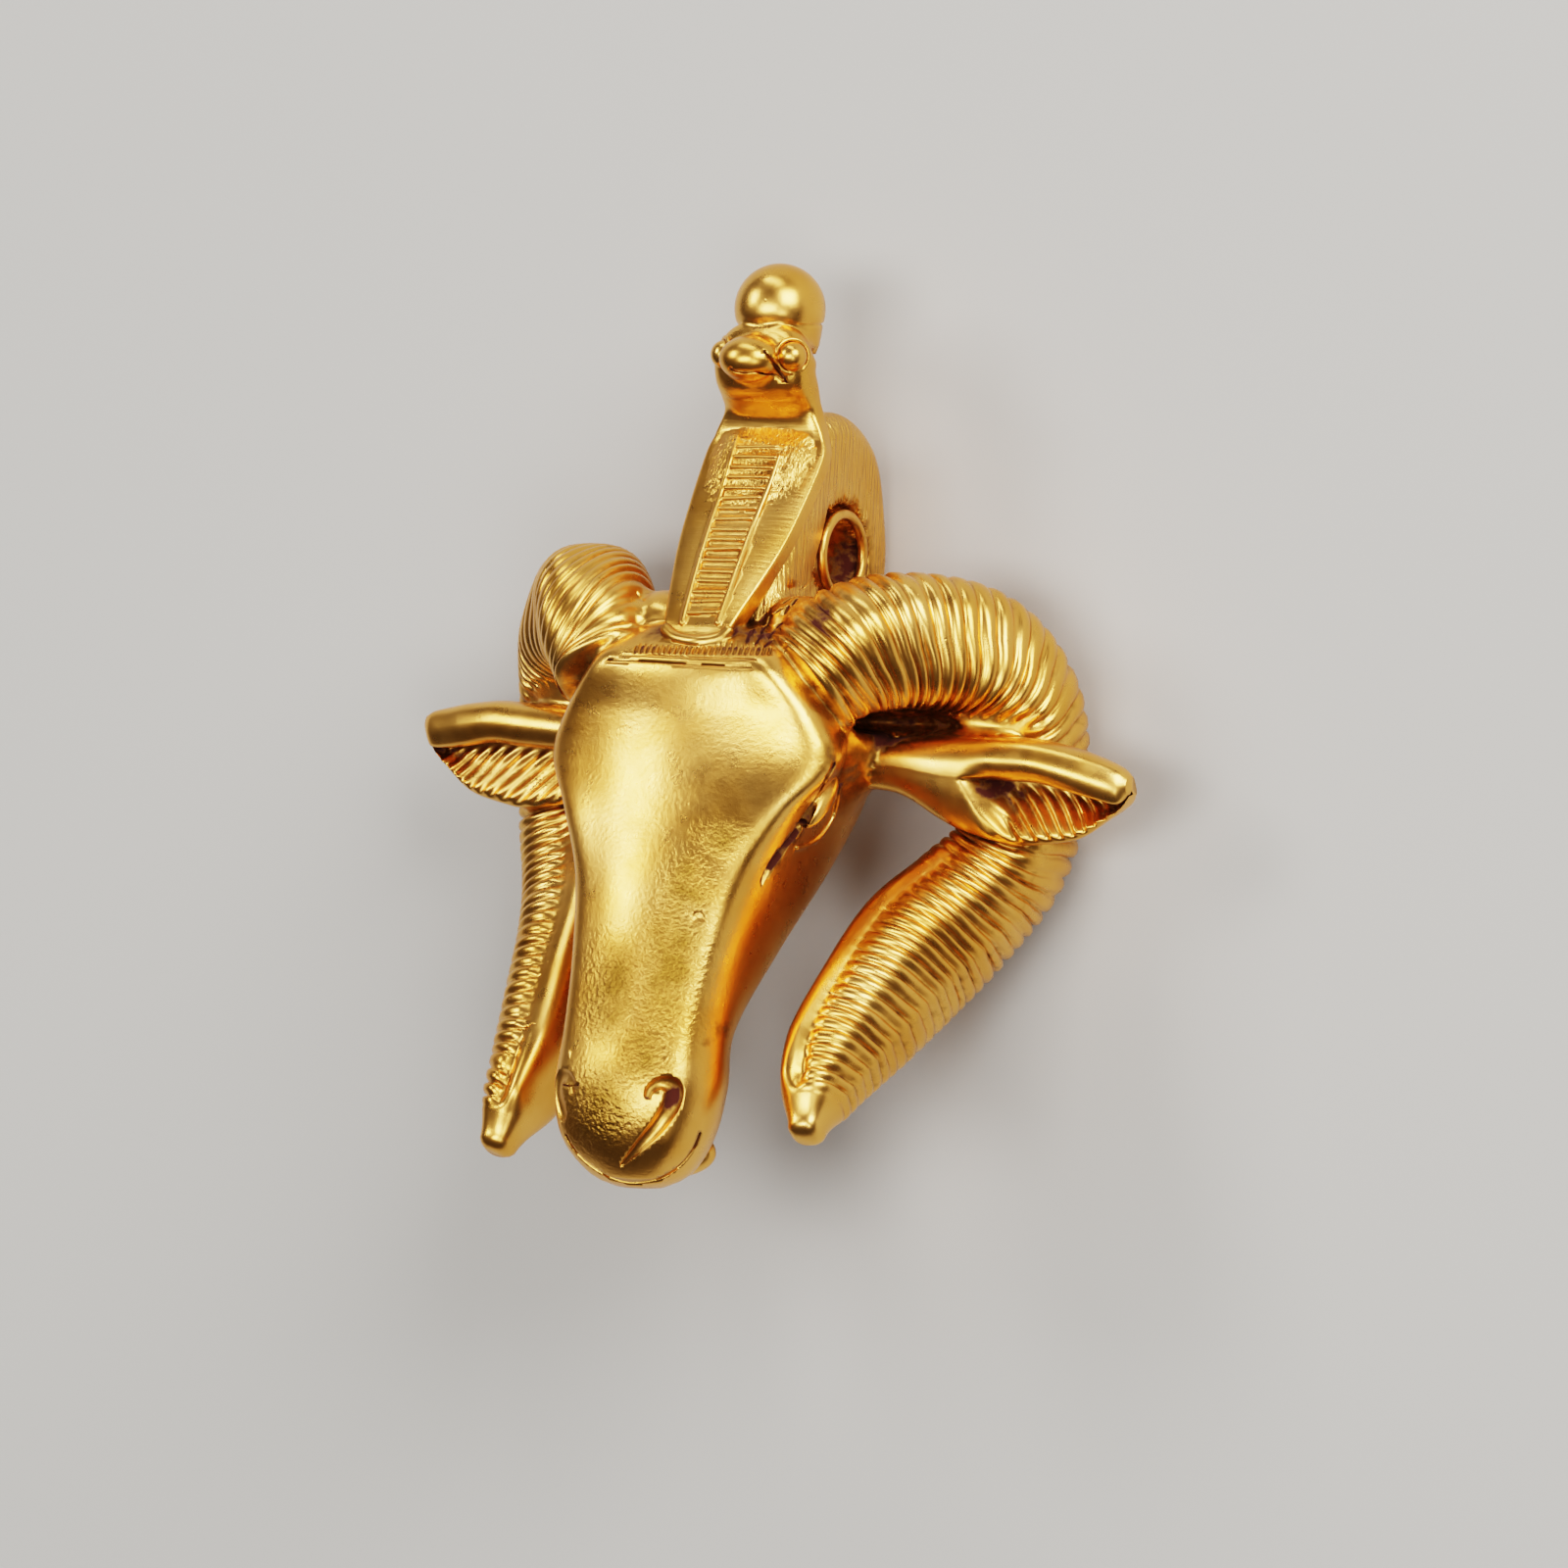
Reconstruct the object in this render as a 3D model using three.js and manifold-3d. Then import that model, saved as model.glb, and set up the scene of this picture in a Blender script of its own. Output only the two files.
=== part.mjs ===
// A ram head amulet, cast in gold in one piece: a ram's head with curled horns, a rearing cobra that wears
// a sun disc on its brow and, behind the cobra, a lug drilled from side to side for the cord it hangs on.
// It is shaped as it hangs, x to the viewer's right, y to the back and z up, and then laid on its back.
import * as THREE from "three";
import { mergeVertices } from "three/addons/utils/BufferGeometryUtils.js";
import Module from "manifold-3d";

const wasm = await Module();
wasm.setup();

// Driving dimensions, in millimetres.
const HORN_PITCH = 0.65; // from one growth ring of a horn to the next
const HORN_RELIEF = 0.15; // depth of the grooves between those rings
const HORN_SLANT = 0.3; // how far the rings lean, the inner edge of the curl ahead
const HORN_TWIST = 0.6; // how much more the rings lean sideways at the root of the left horn
const HORN_SIDES = 9;
const HORN_SQUARE = 2.5; // power of the rounded square that a horn is in section, where 2 is round
const SKULL = { y: 12.6, z: 19.8, halfWidth: 6.7, halfDepth: 5.3, halfHeight: 5.7 };
const CROWN = { x: 3.5, y: 11.2, z: 24.1, wide: 1.8, deep: 1.9, half: 1.55 }; // wool beside the hood's foot
const CHIN = { y: 5.3, z: 1.35, wide: 2.45, deep: 1.1, half: 1.2 };
const EYE = { x: 5.6, y: 9.0, z: 16.85, half: 1.65, bulge: 0.66 };
const EYE_SOCKET = { x: 6.75, y: 8.9, z: 16.7, half: 2.5, bulge: 0.9 };
const NOSTRIL = { x: 1.5, y: 0.35, z: 3.0, wide: 0.26, deep: 0.75, half: 2.3 };
const SNOUT = { y: 12.55, z: 36.25, wide: 1.4, deep: 1.25, half: 0.9 };
const COBRA_EYE = { x: 1.87, farX: 1.57, y: 13.15, z: 36.13, radius: 0.65 }; // the far eye lies flatter
const SUN = { y: 15.3, z: 38.1, radius: 2.04 };
const SUN_COLLAR = { radius: 1.88, from: 36.2, to: 37.5 };
const LUG = { halfWidth: 2.6, rounding: 1.1 };
const CORD_HOLE = { y: 16.5, z: 27.1, radius: 1.68 };
const EAR_RISE = 1.25; // the left ear's tip stands this much higher than the right one's
const HORN_WEB = { x: 10.4, y: 15.5, z: 19.7, wide: 1.5, deep: 1.5, half: 2.9 }; // joins the ear to the horn
const BACK_WEB = { x: 7.6, y: 15.4, z: 20.0, wide: 1.9, deep: 0.9, half: 2.6 }; // the same, nearer the head
const SLIT = { x: 7.3, y: 12.9, z: 20.05, wide: 0.6, deep: 2.5, half: 2.9 }; // the gap between horn and ear
const SKIN_TOLERANCE = 0.055; // triangles that change the surface by less than this are left out
const REST_TILT = 6.1; // degrees between the upright amulet's back and the surface that it lies on
const REST_PLANE = 17.98; // from the nose to that surface: the horns and the lug are worn flat along it

// The face and jaw, from the lip to the crown. front and back are where a level cut meets the middle line,
// and each pair after them is a half width and the y where it lies: the edge of the nose, the cheek, the jaw.
const FACE = [
  { z: 0.0, front: 2.2, back: 3.8, edge: 0.9, edgeY: 2.5, cheek: 1.2, cheekY: 3.0, jaw: 0.7, jawY: 3.5 },
  { z: 0.6, front: 1.1, back: 4.9, edge: 1.8, edgeY: 1.7, cheek: 2.4, cheekY: 3.0, jaw: 1.7, jawY: 4.5 },
  { z: 2.2, front: 0.2, back: 5.6, edge: 2.8, edgeY: 1.0, cheek: 3.45, cheekY: 2.9, jaw: 2.5, jawY: 5.1 },
  { z: 4.4, front: 0.1, back: 5.8, edge: 3.2, edgeY: 1.1, cheek: 4.0, cheekY: 3.1, jaw: 3.0, jawY: 5.3 },
  { z: 6.8, front: 0.9, back: 6.5, edge: 3.2, edgeY: 1.8, cheek: 3.8, cheekY: 4.0, jaw: 3.0, jawY: 6.0 },
  { z: 10.0, front: 2.0, back: 10.2, edge: 3.5, edgeY: 3.0, cheek: 3.9, cheekY: 5.8, jaw: 3.2, jawY: 9.7 },
  { z: 13.5, front: 3.2, back: 14.3, edge: 4.2, edgeY: 4.4, cheek: 4.6, cheekY: 8.2, jaw: 3.7, jawY: 13.6 },
  { z: 16.4, front: 4.5, back: 17.0, edge: 5.6, edgeY: 5.7, cheek: 5.3, cheekY: 9.8, jaw: 4.0, jawY: 16.2 },
  { z: 18.5, front: 5.3, back: 17.8, edge: 7.1, edgeY: 7.3, cheek: 5.9, cheekY: 11.0, jaw: 4.2, jawY: 16.6 },
  { z: 20.6, front: 5.85, back: 17.6, edge: 6.3, edgeY: 7.2, cheek: 6.0, cheekY: 11.0, jaw: 4.2, jawY: 16.2 },
  { z: 22.75, front: 6.2, back: 16.4, edge: 4.6, edgeY: 6.7, cheek: 5.4, cheekY: 10.8, jaw: 4.0, jawY: 14.8 },
  { z: 23.6, front: 7.1, back: 15.4, edge: 3.8, edgeY: 7.5, cheek: 4.8, cheekY: 10.6, jaw: 3.7, jawY: 13.9 },
  { z: 24.3, front: 8.4, back: 14.0, edge: 2.6, edgeY: 8.8, cheek: 3.4, cheekY: 10.6, jaw: 2.9, jawY: 12.8 },
];
const FACE_KNEE = 0.58; // where the flat of the face starts to bend, as a share of the way out to its edge
const FACE_KNEE_DROP = 0.3; // how far back it has bent there, as a share of the edge's own

// A horn from root to tip: its middle line, and its half width along the curl's plane and across it.
const HORN = [
  { x: 4.9, y: 9.3, z: 21.8, deep: 2.6, wide: 2.4 },
  { x: 6.2, y: 10.7, z: 23.2, deep: 3.0, wide: 2.75 },
  { x: 8.1, y: 13.0, z: 23.7, deep: 3.05, wide: 2.75 },
  { x: 10.2, y: 15.4, z: 22.9, deep: 2.9, wide: 2.65 },
  { x: 11.4, y: 17.1, z: 20.7, deep: 2.6, wide: 2.5 },
  { x: 11.6, y: 17.6, z: 17.3, deep: 2.5, wide: 2.4 },
  { x: 11.1, y: 16.7, z: 14.1, deep: 2.75, wide: 2.45 },
  { x: 9.7, y: 14.8, z: 11.6, deep: 3.0, wide: 2.5 },
  { x: 8.5, y: 12.6, z: 9.7, deep: 3.2, wide: 2.5 },
  { x: 7.8, y: 9.8, z: 7.5, deep: 2.9, wide: 2.2 },
  { x: 7.3, y: 7.1, z: 5.4, deep: 2.3, wide: 1.9 },
  { x: 7.4, y: 5.5, z: 4.0, deep: 1.75, wide: 1.4 },
  { x: 7.6, y: 4.5, z: 2.8, deep: 0.9, wide: 0.8 },
];

// The cobra from the foot of its hood to its crown: its middle line, half its width and half its thickness.
const COBRA = [
  { y: 8.2, z: 24.0, half: 1.7, thick: 0.5 },
  { y: 8.7, z: 24.7, half: 1.9, thick: 0.5 },
  { y: 10.9, z: 27.3, half: 2.65, thick: 0.45 },
  { y: 12.6, z: 29.4, half: 2.95, thick: 0.45 },
  { y: 14.3, z: 31.5, half: 3.05, thick: 0.45 },
  { y: 15.0, z: 32.5, half: 2.75, thick: 0.5 },
  { y: 14.9, z: 33.5, half: 2.4, thick: 0.7 },
  { y: 14.4, z: 34.5, half: 2.35, thick: 1.1 },
  { y: 14.0, z: 35.3, half: 2.35, thick: 1.3 },
  { y: 14.1, z: 36.1, half: 2.3, thick: 1.35 },
  { y: 14.6, z: 36.8, half: 1.8, thick: 1.3 },
];

const HOOD_POWER = 7; // powers of the rounded square that the hood and the head are in section
const HEAD_POWER = 2.8;

// An ear from the head to its tip: its middle line, its top, the lower edge of its rolled rim and its bottom,
// and how much its section grows forward.
const EAR = [
  { x: 4.6, y: 13.0, top: 18.8, fold: 17.9, bottom: 17.0, deep: 0.9 },
  { x: 7.2, y: 13.6, top: 19.35, fold: 18.2, bottom: 16.85, deep: 1.0 },
  { x: 9.7, y: 13.9, top: 19.55, fold: 17.9, bottom: 15.5, deep: 1.0 },
  { x: 12.2, y: 14.1, top: 19.55, fold: 17.8, bottom: 14.8, deep: 0.95 },
  { x: 14.0, y: 14.2, top: 19.45, fold: 17.75, bottom: 14.85, deep: 0.9 },
  { x: 15.7, y: 14.4, top: 19.1, fold: 17.3, bottom: 15.15, deep: 0.82 },
  { x: 16.9, y: 14.6, top: 18.7, fold: 16.95, bottom: 15.9, deep: 0.72 },
  { x: 17.7, y: 14.7, top: 18.35, fold: 16.8, bottom: 16.5, deep: 0.58 },
  { x: 18.1, y: 14.75, top: 18.0, fold: 17.2, bottom: 17.1, deep: 0.35 },
];
const EAR_OPENS = { right: 2.3, left: 1.0 }; // the station where the stem starts to sink into a dish
const EAR_SINK = 0.6; // how many stations the sinking takes
const EAR_LAG = 0.15; // how much later each lower point of the dish starts to sink

// The ear's section, forward and up: the rolled rim, the hollow under it, the lower edge and the ear's back.
// Up is 1 at the top, 0 at the rim's lower edge and -1 at the bottom.
const EAR_SECTION = [
  [0.0, 1.0], [0.9, 0.86], [1.3, 0.42], [0.95, 0.0], [-0.75, -0.05], [-0.5, -0.36],
  [0.35, -0.88], [0.1, -1.0], [-0.9, -0.86], [-1.6, -0.42], [-1.7, 0.05], [-1.0, 0.84],
];

// The same points on the stem, where the dish hasn't sunk in yet.
const EAR_STEM = [
  [0.0, 1.0], [0.85, 0.86], [1.25, 0.42], [1.3, 0.0], [1.28, -0.08], [1.15, -0.4],
  [0.7, -0.86], [0.1, -1.0], [-0.9, -0.86], [-1.6, -0.42], [-1.7, 0.05], [-1.0, 0.84],
];

// The lug's outline seen from the side, y and z, inside the rounding of its edges.
const LUG_OUTLINE = [
  [14.8, 31.8], [17.0, 32.35], [19.1, 31.1], [19.85, 28.6], [19.9, 26.2],
  [18.6, 23.4], [14.0, 21.6], [11.0, 24.0], [13.0, 28.6],
];

const clamp = (value, low, high) => Math.min(Math.max(value, low), high);

// 0 below low, 1 above high and an even slope between.
function smooth(low, high, value) {
  const f = clamp((value - low) / (high - low), 0, 1);
  return f * f * (3 - 2 * f);
}

// The named values between the stations, along a Catmull-Rom curve; t counts stations from 0.
function between(stations, t) {
  const last = stations.length - 1;
  const i = clamp(Math.floor(t), 0, last - 1);
  const f = t - i;
  const [a, b, c, d] = [i - 1, i, i + 1, i + 2].map((k) => stations[clamp(k, 0, last)]);
  const value = (key) => {
    const linear = (c[key] - a[key]) / 2;
    const square = a[key] - 2.5 * b[key] + 2 * c[key] - d[key] / 2;
    const cube = (d[key] - a[key]) / 2 + 1.5 * (b[key] - c[key]);
    return b[key] + f * (linear + f * (square + f * cube));
  };
  return Object.fromEntries(Object.keys(b).map((key) => [key, value(key)]));
}

// A three.js geometry as a solid that can be joined and cut.
function solid(geometry) {
  const bare = geometry.clone();
  bare.deleteAttribute("normal");
  bare.deleteAttribute("uv");
  const merged = mergeVertices(bare, 1e-4);
  const vertProperties = merged.attributes.position.array;
  const triVerts = new Uint32Array(merged.index.array);
  return new wasm.Manifold(new wasm.Mesh({ numProp: 3, vertProperties, triVerts }));
}

// A closed skin over rings of points, each ring with as many points, with a fan over each end.
function loft(rings) {
  const sides = rings[0].length;
  const last = rings.length - 1;
  const points = rings.flat();
  const faces = [];
  for (let r = 0; r < last; r++) {
    for (let k = 0; k < sides; k++) {
      const [here, next] = [r * sides + k, r * sides + ((k + 1) % sides)];
      faces.push(here, next, next + sides, here, next + sides, here + sides);
    }
  }
  for (const end of [0, last]) {
    const middle = new THREE.Vector3();
    rings[end].forEach((p) => middle.addScaledVector(p, 1 / sides));
    points.push(middle);
    for (let k = 0; k < sides; k++) {
      const edge = [end * sides + k, end * sides + ((k + 1) % sides)];
      faces.push(...(end ? edge : edge.reverse()), points.length - 1);
    }
  }
  const geometry = new THREE.BufferGeometry().setFromPoints(points);
  const made = solid(geometry.setIndex(faces));
  return made.volume() > 0 ? made : solid(geometry.setIndex(faces.reverse()));
}

// A ball stretched to half along a line, wide across it and deep from front to back.
function pebble(x, { y, z, wide, deep, half }, along, lift = 0) {
  const turn = new THREE.Quaternion().setFromUnitVectors(
    new THREE.Vector3(0, 0, 1), new THREE.Vector3(...along).normalize());
  const ball = new THREE.SphereGeometry(1, 8, 5).scale(wide, deep, half);
  return solid(ball.applyQuaternion(turn).translate(x, y, z + lift));
}

function face() {
  const levels = 24;
  const perSide = 10;
  const rings = [];
  for (let n = 0; n <= levels; n++) {
    const s = between(FACE, (n / levels) * (FACE.length - 1));
    const level = (x, y) => new THREE.Vector3(x, y, s.z);
    const [knee, kneeY] = [s.edge * FACE_KNEE, s.front + (s.edgeY - s.front) * FACE_KNEE_DROP];
    // Half of the level cut, from the front to the back, with a point beyond each end to make it smooth there.
    const half = new THREE.CatmullRomCurve3([
      level(-knee, kneeY), level(0, s.front), level(knee, kneeY),
      level(s.edge, s.edgeY), level(s.cheek, s.cheekY), level(s.jaw, s.jawY),
      level(0, s.back), level(-s.jaw, s.jawY),
    ], false, "centripetal");
    const right = [];
    for (let k = 0; k <= perSide; k++) right.push(half.getPoint((1 + (k / perSide) * 5) / 7));
    const left = right.slice(1, -1).reverse().map((p) => level(-p.x, p.y));
    rings.push([...right, ...left]);
  }
  return loft(rings);
}

function skull() {
  const ball = new THREE.SphereGeometry(1, 16, 8);
  ball.scale(SKULL.halfWidth, SKULL.halfDepth, SKULL.halfHeight).translate(0, SKULL.y, SKULL.z);
  const crown = [-1, 1].map((side) => pebble(side * CROWN.x, CROWN, [0, 0, 1]));
  return solid(ball).add(crown[0]).add(crown[1]).add(pebble(0, CHIN, [0, 0, 1]));
}

// A horn with its growth rings. The left one stands wider and hangs lower.
function horn(side) {
  const last = HORN.length - 1;
  const uneven = side < 0 ? 1 : 0;
  const stations = HORN.map((s, i) => {
    const wider = uneven * (0.25 + 0.35 * (i / last) ** 2);
    const higher = uneven * (0.8 * Math.min((i / last) * 6, 1) - 2.3 * (i / last) ** 2);
    return new THREE.Vector3(side * (s.x + wider), s.y, s.z + higher);
  });
  const line = new THREE.CatmullRomCurve3(stations);
  const length = line.getLength();
  const steps = 2 * Math.round(length / HORN_PITCH);
  const rings = [];
  for (let n = 0; n <= steps; n++) {
    const u = n / steps;
    const s = between(HORN, line.getUtoTmapping(u) * last);
    const ahead = line.getTangentAt(u);
    const across = new THREE.Vector3(side, 0, 0).addScaledVector(ahead, -side * ahead.x).normalize();
    const inner = new THREE.Vector3().crossVectors(ahead, across).multiplyScalar(side);
    const relief = n % 2 ? 0 : HORN_RELIEF;
    const twist = uneven * HORN_TWIST * smooth(0, 2, u * length) * (1 - smooth(4, 10, u * length));
    const ring = [];
    for (let k = 0; k < HORN_SIDES; k++) {
      const angle = (k / HORN_SIDES) * 2 * Math.PI;
      const [a, b] = [Math.cos(angle), Math.sin(angle)];
      const square = (Math.abs(a) ** HORN_SQUARE + Math.abs(b) ** HORN_SQUARE) ** (-1 / HORN_SQUARE);
      const p = line.getPointAt(u);
      p.addScaledVector(across, a * square * (s.wide - relief));
      p.addScaledVector(inner, b * square * (s.deep - relief));
      p.addScaledVector(ahead, b * square * s.deep * HORN_SLANT - a * s.deep * twist);
      ring.push(p);
    }
    rings.push(ring);
  }
  return loft(rings);
}

function ear(side) {
  const last = EAR.length - 1;
  const steps = 16;
  const rise = side < 0 ? EAR_RISE : 0;
  const rings = [];
  for (let n = 0; n <= steps; n++) {
    const t = (n / steps) * last;
    const s = between(EAR, t);
    const start = side < 0 ? EAR_OPENS.left : EAR_OPENS.right;
    rings.push(EAR_SECTION.map(([dishForward, dishUp], point) => {
      const lag = EAR_LAG * clamp(point - 4, 0, 2);
      const opens = smooth(0, EAR_SINK, t - start - lag);
      const [stemForward, stemUp] = EAR_STEM[point];
      const forward = stemForward + (dishForward - stemForward) * opens;
      const up = stemUp + (dishUp - stemUp) * opens;
      const height = s.fold + up * (up > 0 ? s.top - s.fold : s.fold - s.bottom);
      return new THREE.Vector3(side * s.x, s.y - forward * s.deep, height + rise * (t / last));
    }));
  }
  const webs = [pebble(side * HORN_WEB.x, HORN_WEB, [side, 0.2, 0.1], rise * 0.6),
    pebble(side * BACK_WEB.x, BACK_WEB, [side, 0.1, 0.1], rise * 0.6)];
  return loft(rings).add(webs[0]).add(webs[1]);
}

// The gap that is left open between the horn and the stem of the ear.
function slit(side) {
  return pebble(side * SLIT.x, SLIT, [side, 0.1, 0], side < 0 ? EAR_RISE * 0.6 : 0);
}

function cobra() {
  const last = COBRA.length - 1;
  const steps = 18;
  const sides = 16;
  const rings = [];
  for (let n = 0; n <= steps; n++) {
    const t = (n / steps) * last;
    const s = between(COBRA, t);
    const [below, above] = [Math.max(t - 0.1, 0), Math.min(t + 0.1, last)].map((at) => between(COBRA, at));
    const out = new THREE.Vector3(0, below.z - above.z, above.y - below.y).normalize();
    const power = HEAD_POWER + (HOOD_POWER - HEAD_POWER) * (1 - smooth(5, 6.5, t));
    const ring = [];
    for (let k = 0; k < sides; k++) {
      const angle = (k / sides) * 2 * Math.PI;
      const [a, b] = [Math.cos(angle), Math.sin(angle)];
      const square = (Math.abs(a) ** power + Math.abs(b) ** power) ** (-1 / power);
      const p = new THREE.Vector3(a * square * s.half, s.y, s.z);
      ring.push(p.addScaledVector(out, b * square * s.thick));
    }
    rings.push(ring);
  }
  const eye = { ...COBRA_EYE, wide: COBRA_EYE.radius, deep: COBRA_EYE.radius, half: COBRA_EYE.radius };
  const eyes = [COBRA_EYE.x, -COBRA_EYE.farX].map((x) => pebble(x, eye, [0, 0, 1]));
  return loft(rings).add(pebble(0, SNOUT, [0, 0, 1])).add(eyes[0]).add(eyes[1]);
}

function sun() {
  const ball = new THREE.SphereGeometry(SUN.radius, 14, 9).translate(0, SUN.y, SUN.z);
  const height = SUN_COLLAR.to - SUN_COLLAR.from;
  const collar = new THREE.CylinderGeometry(SUN_COLLAR.radius, SUN_COLLAR.radius, height, 14);
  collar.rotateX(Math.PI / 2).translate(0, SUN.y, SUN_COLLAR.from + height / 2);
  return solid(ball).add(solid(collar));
}

function lug() {
  const edge = new THREE.CatmullRomCurve3(
    LUG_OUTLINE.map(([y, z]) => new THREE.Vector3(y, z, 0)), true, "centripetal");
  const points = edge.getPoints(25).slice(0, -1).map((p) => new THREE.Vector2(p.x, p.y));
  const body = new THREE.ExtrudeGeometry(new THREE.Shape(points), {
    depth: 2 * (LUG.halfWidth - LUG.rounding),
    bevelSize: LUG.rounding, bevelThickness: LUG.rounding, bevelSegments: 3,
  });
  body.translate(0, 0, LUG.rounding - LUG.halfWidth);
  body.applyMatrix4(new THREE.Matrix4().set(0, 0, 1, 0, 1, 0, 0, 0, 0, 1, 0, 0, 0, 0, 0, 1));
  const drill = new THREE.CylinderGeometry(CORD_HOLE.radius, CORD_HOLE.radius, 12, 18);
  drill.rotateZ(Math.PI / 2).translate(0, CORD_HOLE.y, CORD_HOLE.z);
  return solid(body).subtract(solid(drill));
}

// An almond along the slope of the cheek, for the eye and for the hollow that it sits in.
function almond(side, size) {
  return pebble(side * size.x, { ...size, wide: size.bulge, deep: size.bulge }, [0, 0.74, 0.67]);
}

function nostril(side) {
  return pebble(side * NOSTRIL.x, NOSTRIL, [side * 3.0, 0.2, 3.5]);
}

// The block under the surface that the amulet lies on, which wears the horns and the lug flat.
function worn() {
  const block = new THREE.BoxGeometry(60, 10, 80).translate(0, REST_PLANE + 5, 20);
  return solid(block.rotateX(-THREE.MathUtils.degToRad(REST_TILT)));
}

function wholeAmulet() {
  const joined = [skull(), horn(1), horn(-1), ear(1), ear(-1), cobra(), sun(), lug()];
  const cut = [slit(1), slit(-1), almond(1, EYE_SOCKET), almond(-1, EYE_SOCKET), nostril(1), nostril(-1), worn()];
  let whole = face();
  for (const piece of joined) whole = whole.add(piece);
  for (const piece of cut) whole = whole.subtract(piece);
  whole = whole.add(almond(1, EYE)).add(almond(-1, EYE));
  // Pieces that cross at a slant can seal a speck of air between them: only the outer skin is kept.
  const skins = whole.simplify(SKIN_TOLERANCE).decompose();
  return skins.sort((one, other) => other.volume() - one.volume())[0];
}

function meshOf(made, material) {
  const { vertProperties, triVerts } = made.getMesh();
  const geometry = new THREE.BufferGeometry();
  geometry.setAttribute("position", new THREE.BufferAttribute(vertProperties, 3));
  geometry.setIndex(new THREE.BufferAttribute(triVerts, 1));
  geometry.computeVertexNormals();
  return new THREE.Mesh(geometry, material);
}

const gold = new THREE.MeshStandardMaterial({ color: 0xd9a63c, metalness: 1, roughness: 0.28 });
const amulet = meshOf(wholeAmulet(), gold);
amulet.name = "amulet";

const group = new THREE.Group();
group.add(amulet);
group.rotation.x = THREE.MathUtils.degToRad(REST_TILT - 90);

// The origin is on the surface that it lies on, under the middle of its outline.
const outline = new THREE.Box3().setFromObject(group, true);
const middle = outline.getCenter(new THREE.Vector3());
group.position.set(-middle.x, -middle.y, -outline.min.z);

export default group;
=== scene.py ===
import math

import bmesh
import bpy
import numpy as np
from mathutils import Matrix, Vector
from mathutils.bvhtree import BVHTree
from mathutils.kdtree import KDTree


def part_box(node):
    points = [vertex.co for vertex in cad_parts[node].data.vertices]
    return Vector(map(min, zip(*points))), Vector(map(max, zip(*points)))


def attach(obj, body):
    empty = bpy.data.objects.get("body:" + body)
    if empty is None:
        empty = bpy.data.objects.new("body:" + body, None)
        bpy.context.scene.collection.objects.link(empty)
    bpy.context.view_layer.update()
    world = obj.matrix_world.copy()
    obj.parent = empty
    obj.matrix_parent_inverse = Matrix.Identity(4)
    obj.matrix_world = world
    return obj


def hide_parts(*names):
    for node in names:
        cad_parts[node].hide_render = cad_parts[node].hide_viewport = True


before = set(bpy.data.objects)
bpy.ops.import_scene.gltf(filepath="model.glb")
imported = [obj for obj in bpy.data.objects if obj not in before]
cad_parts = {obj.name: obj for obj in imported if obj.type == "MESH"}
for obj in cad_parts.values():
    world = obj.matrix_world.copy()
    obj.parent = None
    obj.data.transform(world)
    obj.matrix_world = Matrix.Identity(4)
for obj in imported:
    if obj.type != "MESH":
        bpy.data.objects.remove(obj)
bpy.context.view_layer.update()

# The face and jaw
# The amulet is one gold casting, hollowed nowhere and chased with gravers and punches after it was cast.
# Every form is shaped as the amulet hangs, x to the viewer's right, y to the back and z up, in millimetres,
# and is fused with the rest before the whole is laid on its back.
FACE = [  # z, front, back, edge and its y, cheek and its y, jaw and its y
    (0.0, 2.2, 3.8, 0.9, 2.5, 1.2, 3.0, 0.7, 3.5),
    (0.6, 1.1, 4.9, 1.8, 1.7, 2.4, 3.0, 1.7, 4.5),
    (2.2, 0.2, 5.6, 2.8, 1.0, 3.45, 2.9, 2.5, 5.1),
    (4.4, 0.1, 5.8, 3.2, 1.1, 4.0, 3.1, 3.0, 5.3),
    (6.8, 0.9, 6.5, 3.2, 1.8, 3.8, 4.0, 3.0, 6.0),
    (10.0, 2.0, 10.2, 3.5, 3.0, 3.9, 5.8, 3.2, 9.7),
    (13.5, 3.2, 14.3, 4.2, 4.4, 4.6, 8.2, 3.7, 13.6),
    (16.4, 4.5, 17.0, 5.6, 5.7, 5.3, 9.8, 4.0, 16.2),
    (18.5, 5.3, 17.8, 7.1, 7.3, 5.9, 11.0, 4.2, 16.6),
    (20.6, 5.85, 17.6, 6.3, 7.2, 6.0, 11.0, 4.2, 16.2),
    (22.75, 6.2, 16.4, 4.6, 6.7, 5.4, 10.8, 4.0, 14.8),
    (23.6, 7.1, 15.4, 3.8, 7.5, 4.8, 10.6, 3.7, 13.9),
    (24.3, 8.4, 14.0, 2.6, 8.8, 3.4, 10.6, 2.9, 12.8),
]
FACE_KNEE, FACE_KNEE_DROP = 0.58, 0.3  # where the flat front bends, as shares of the way to the edge
FACE_LEVEL_GAP = 0.22
FACE_PER_SIDE = 76
FACE_WORN = 8  # rounds of wear that take the sharpness off the edges


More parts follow.
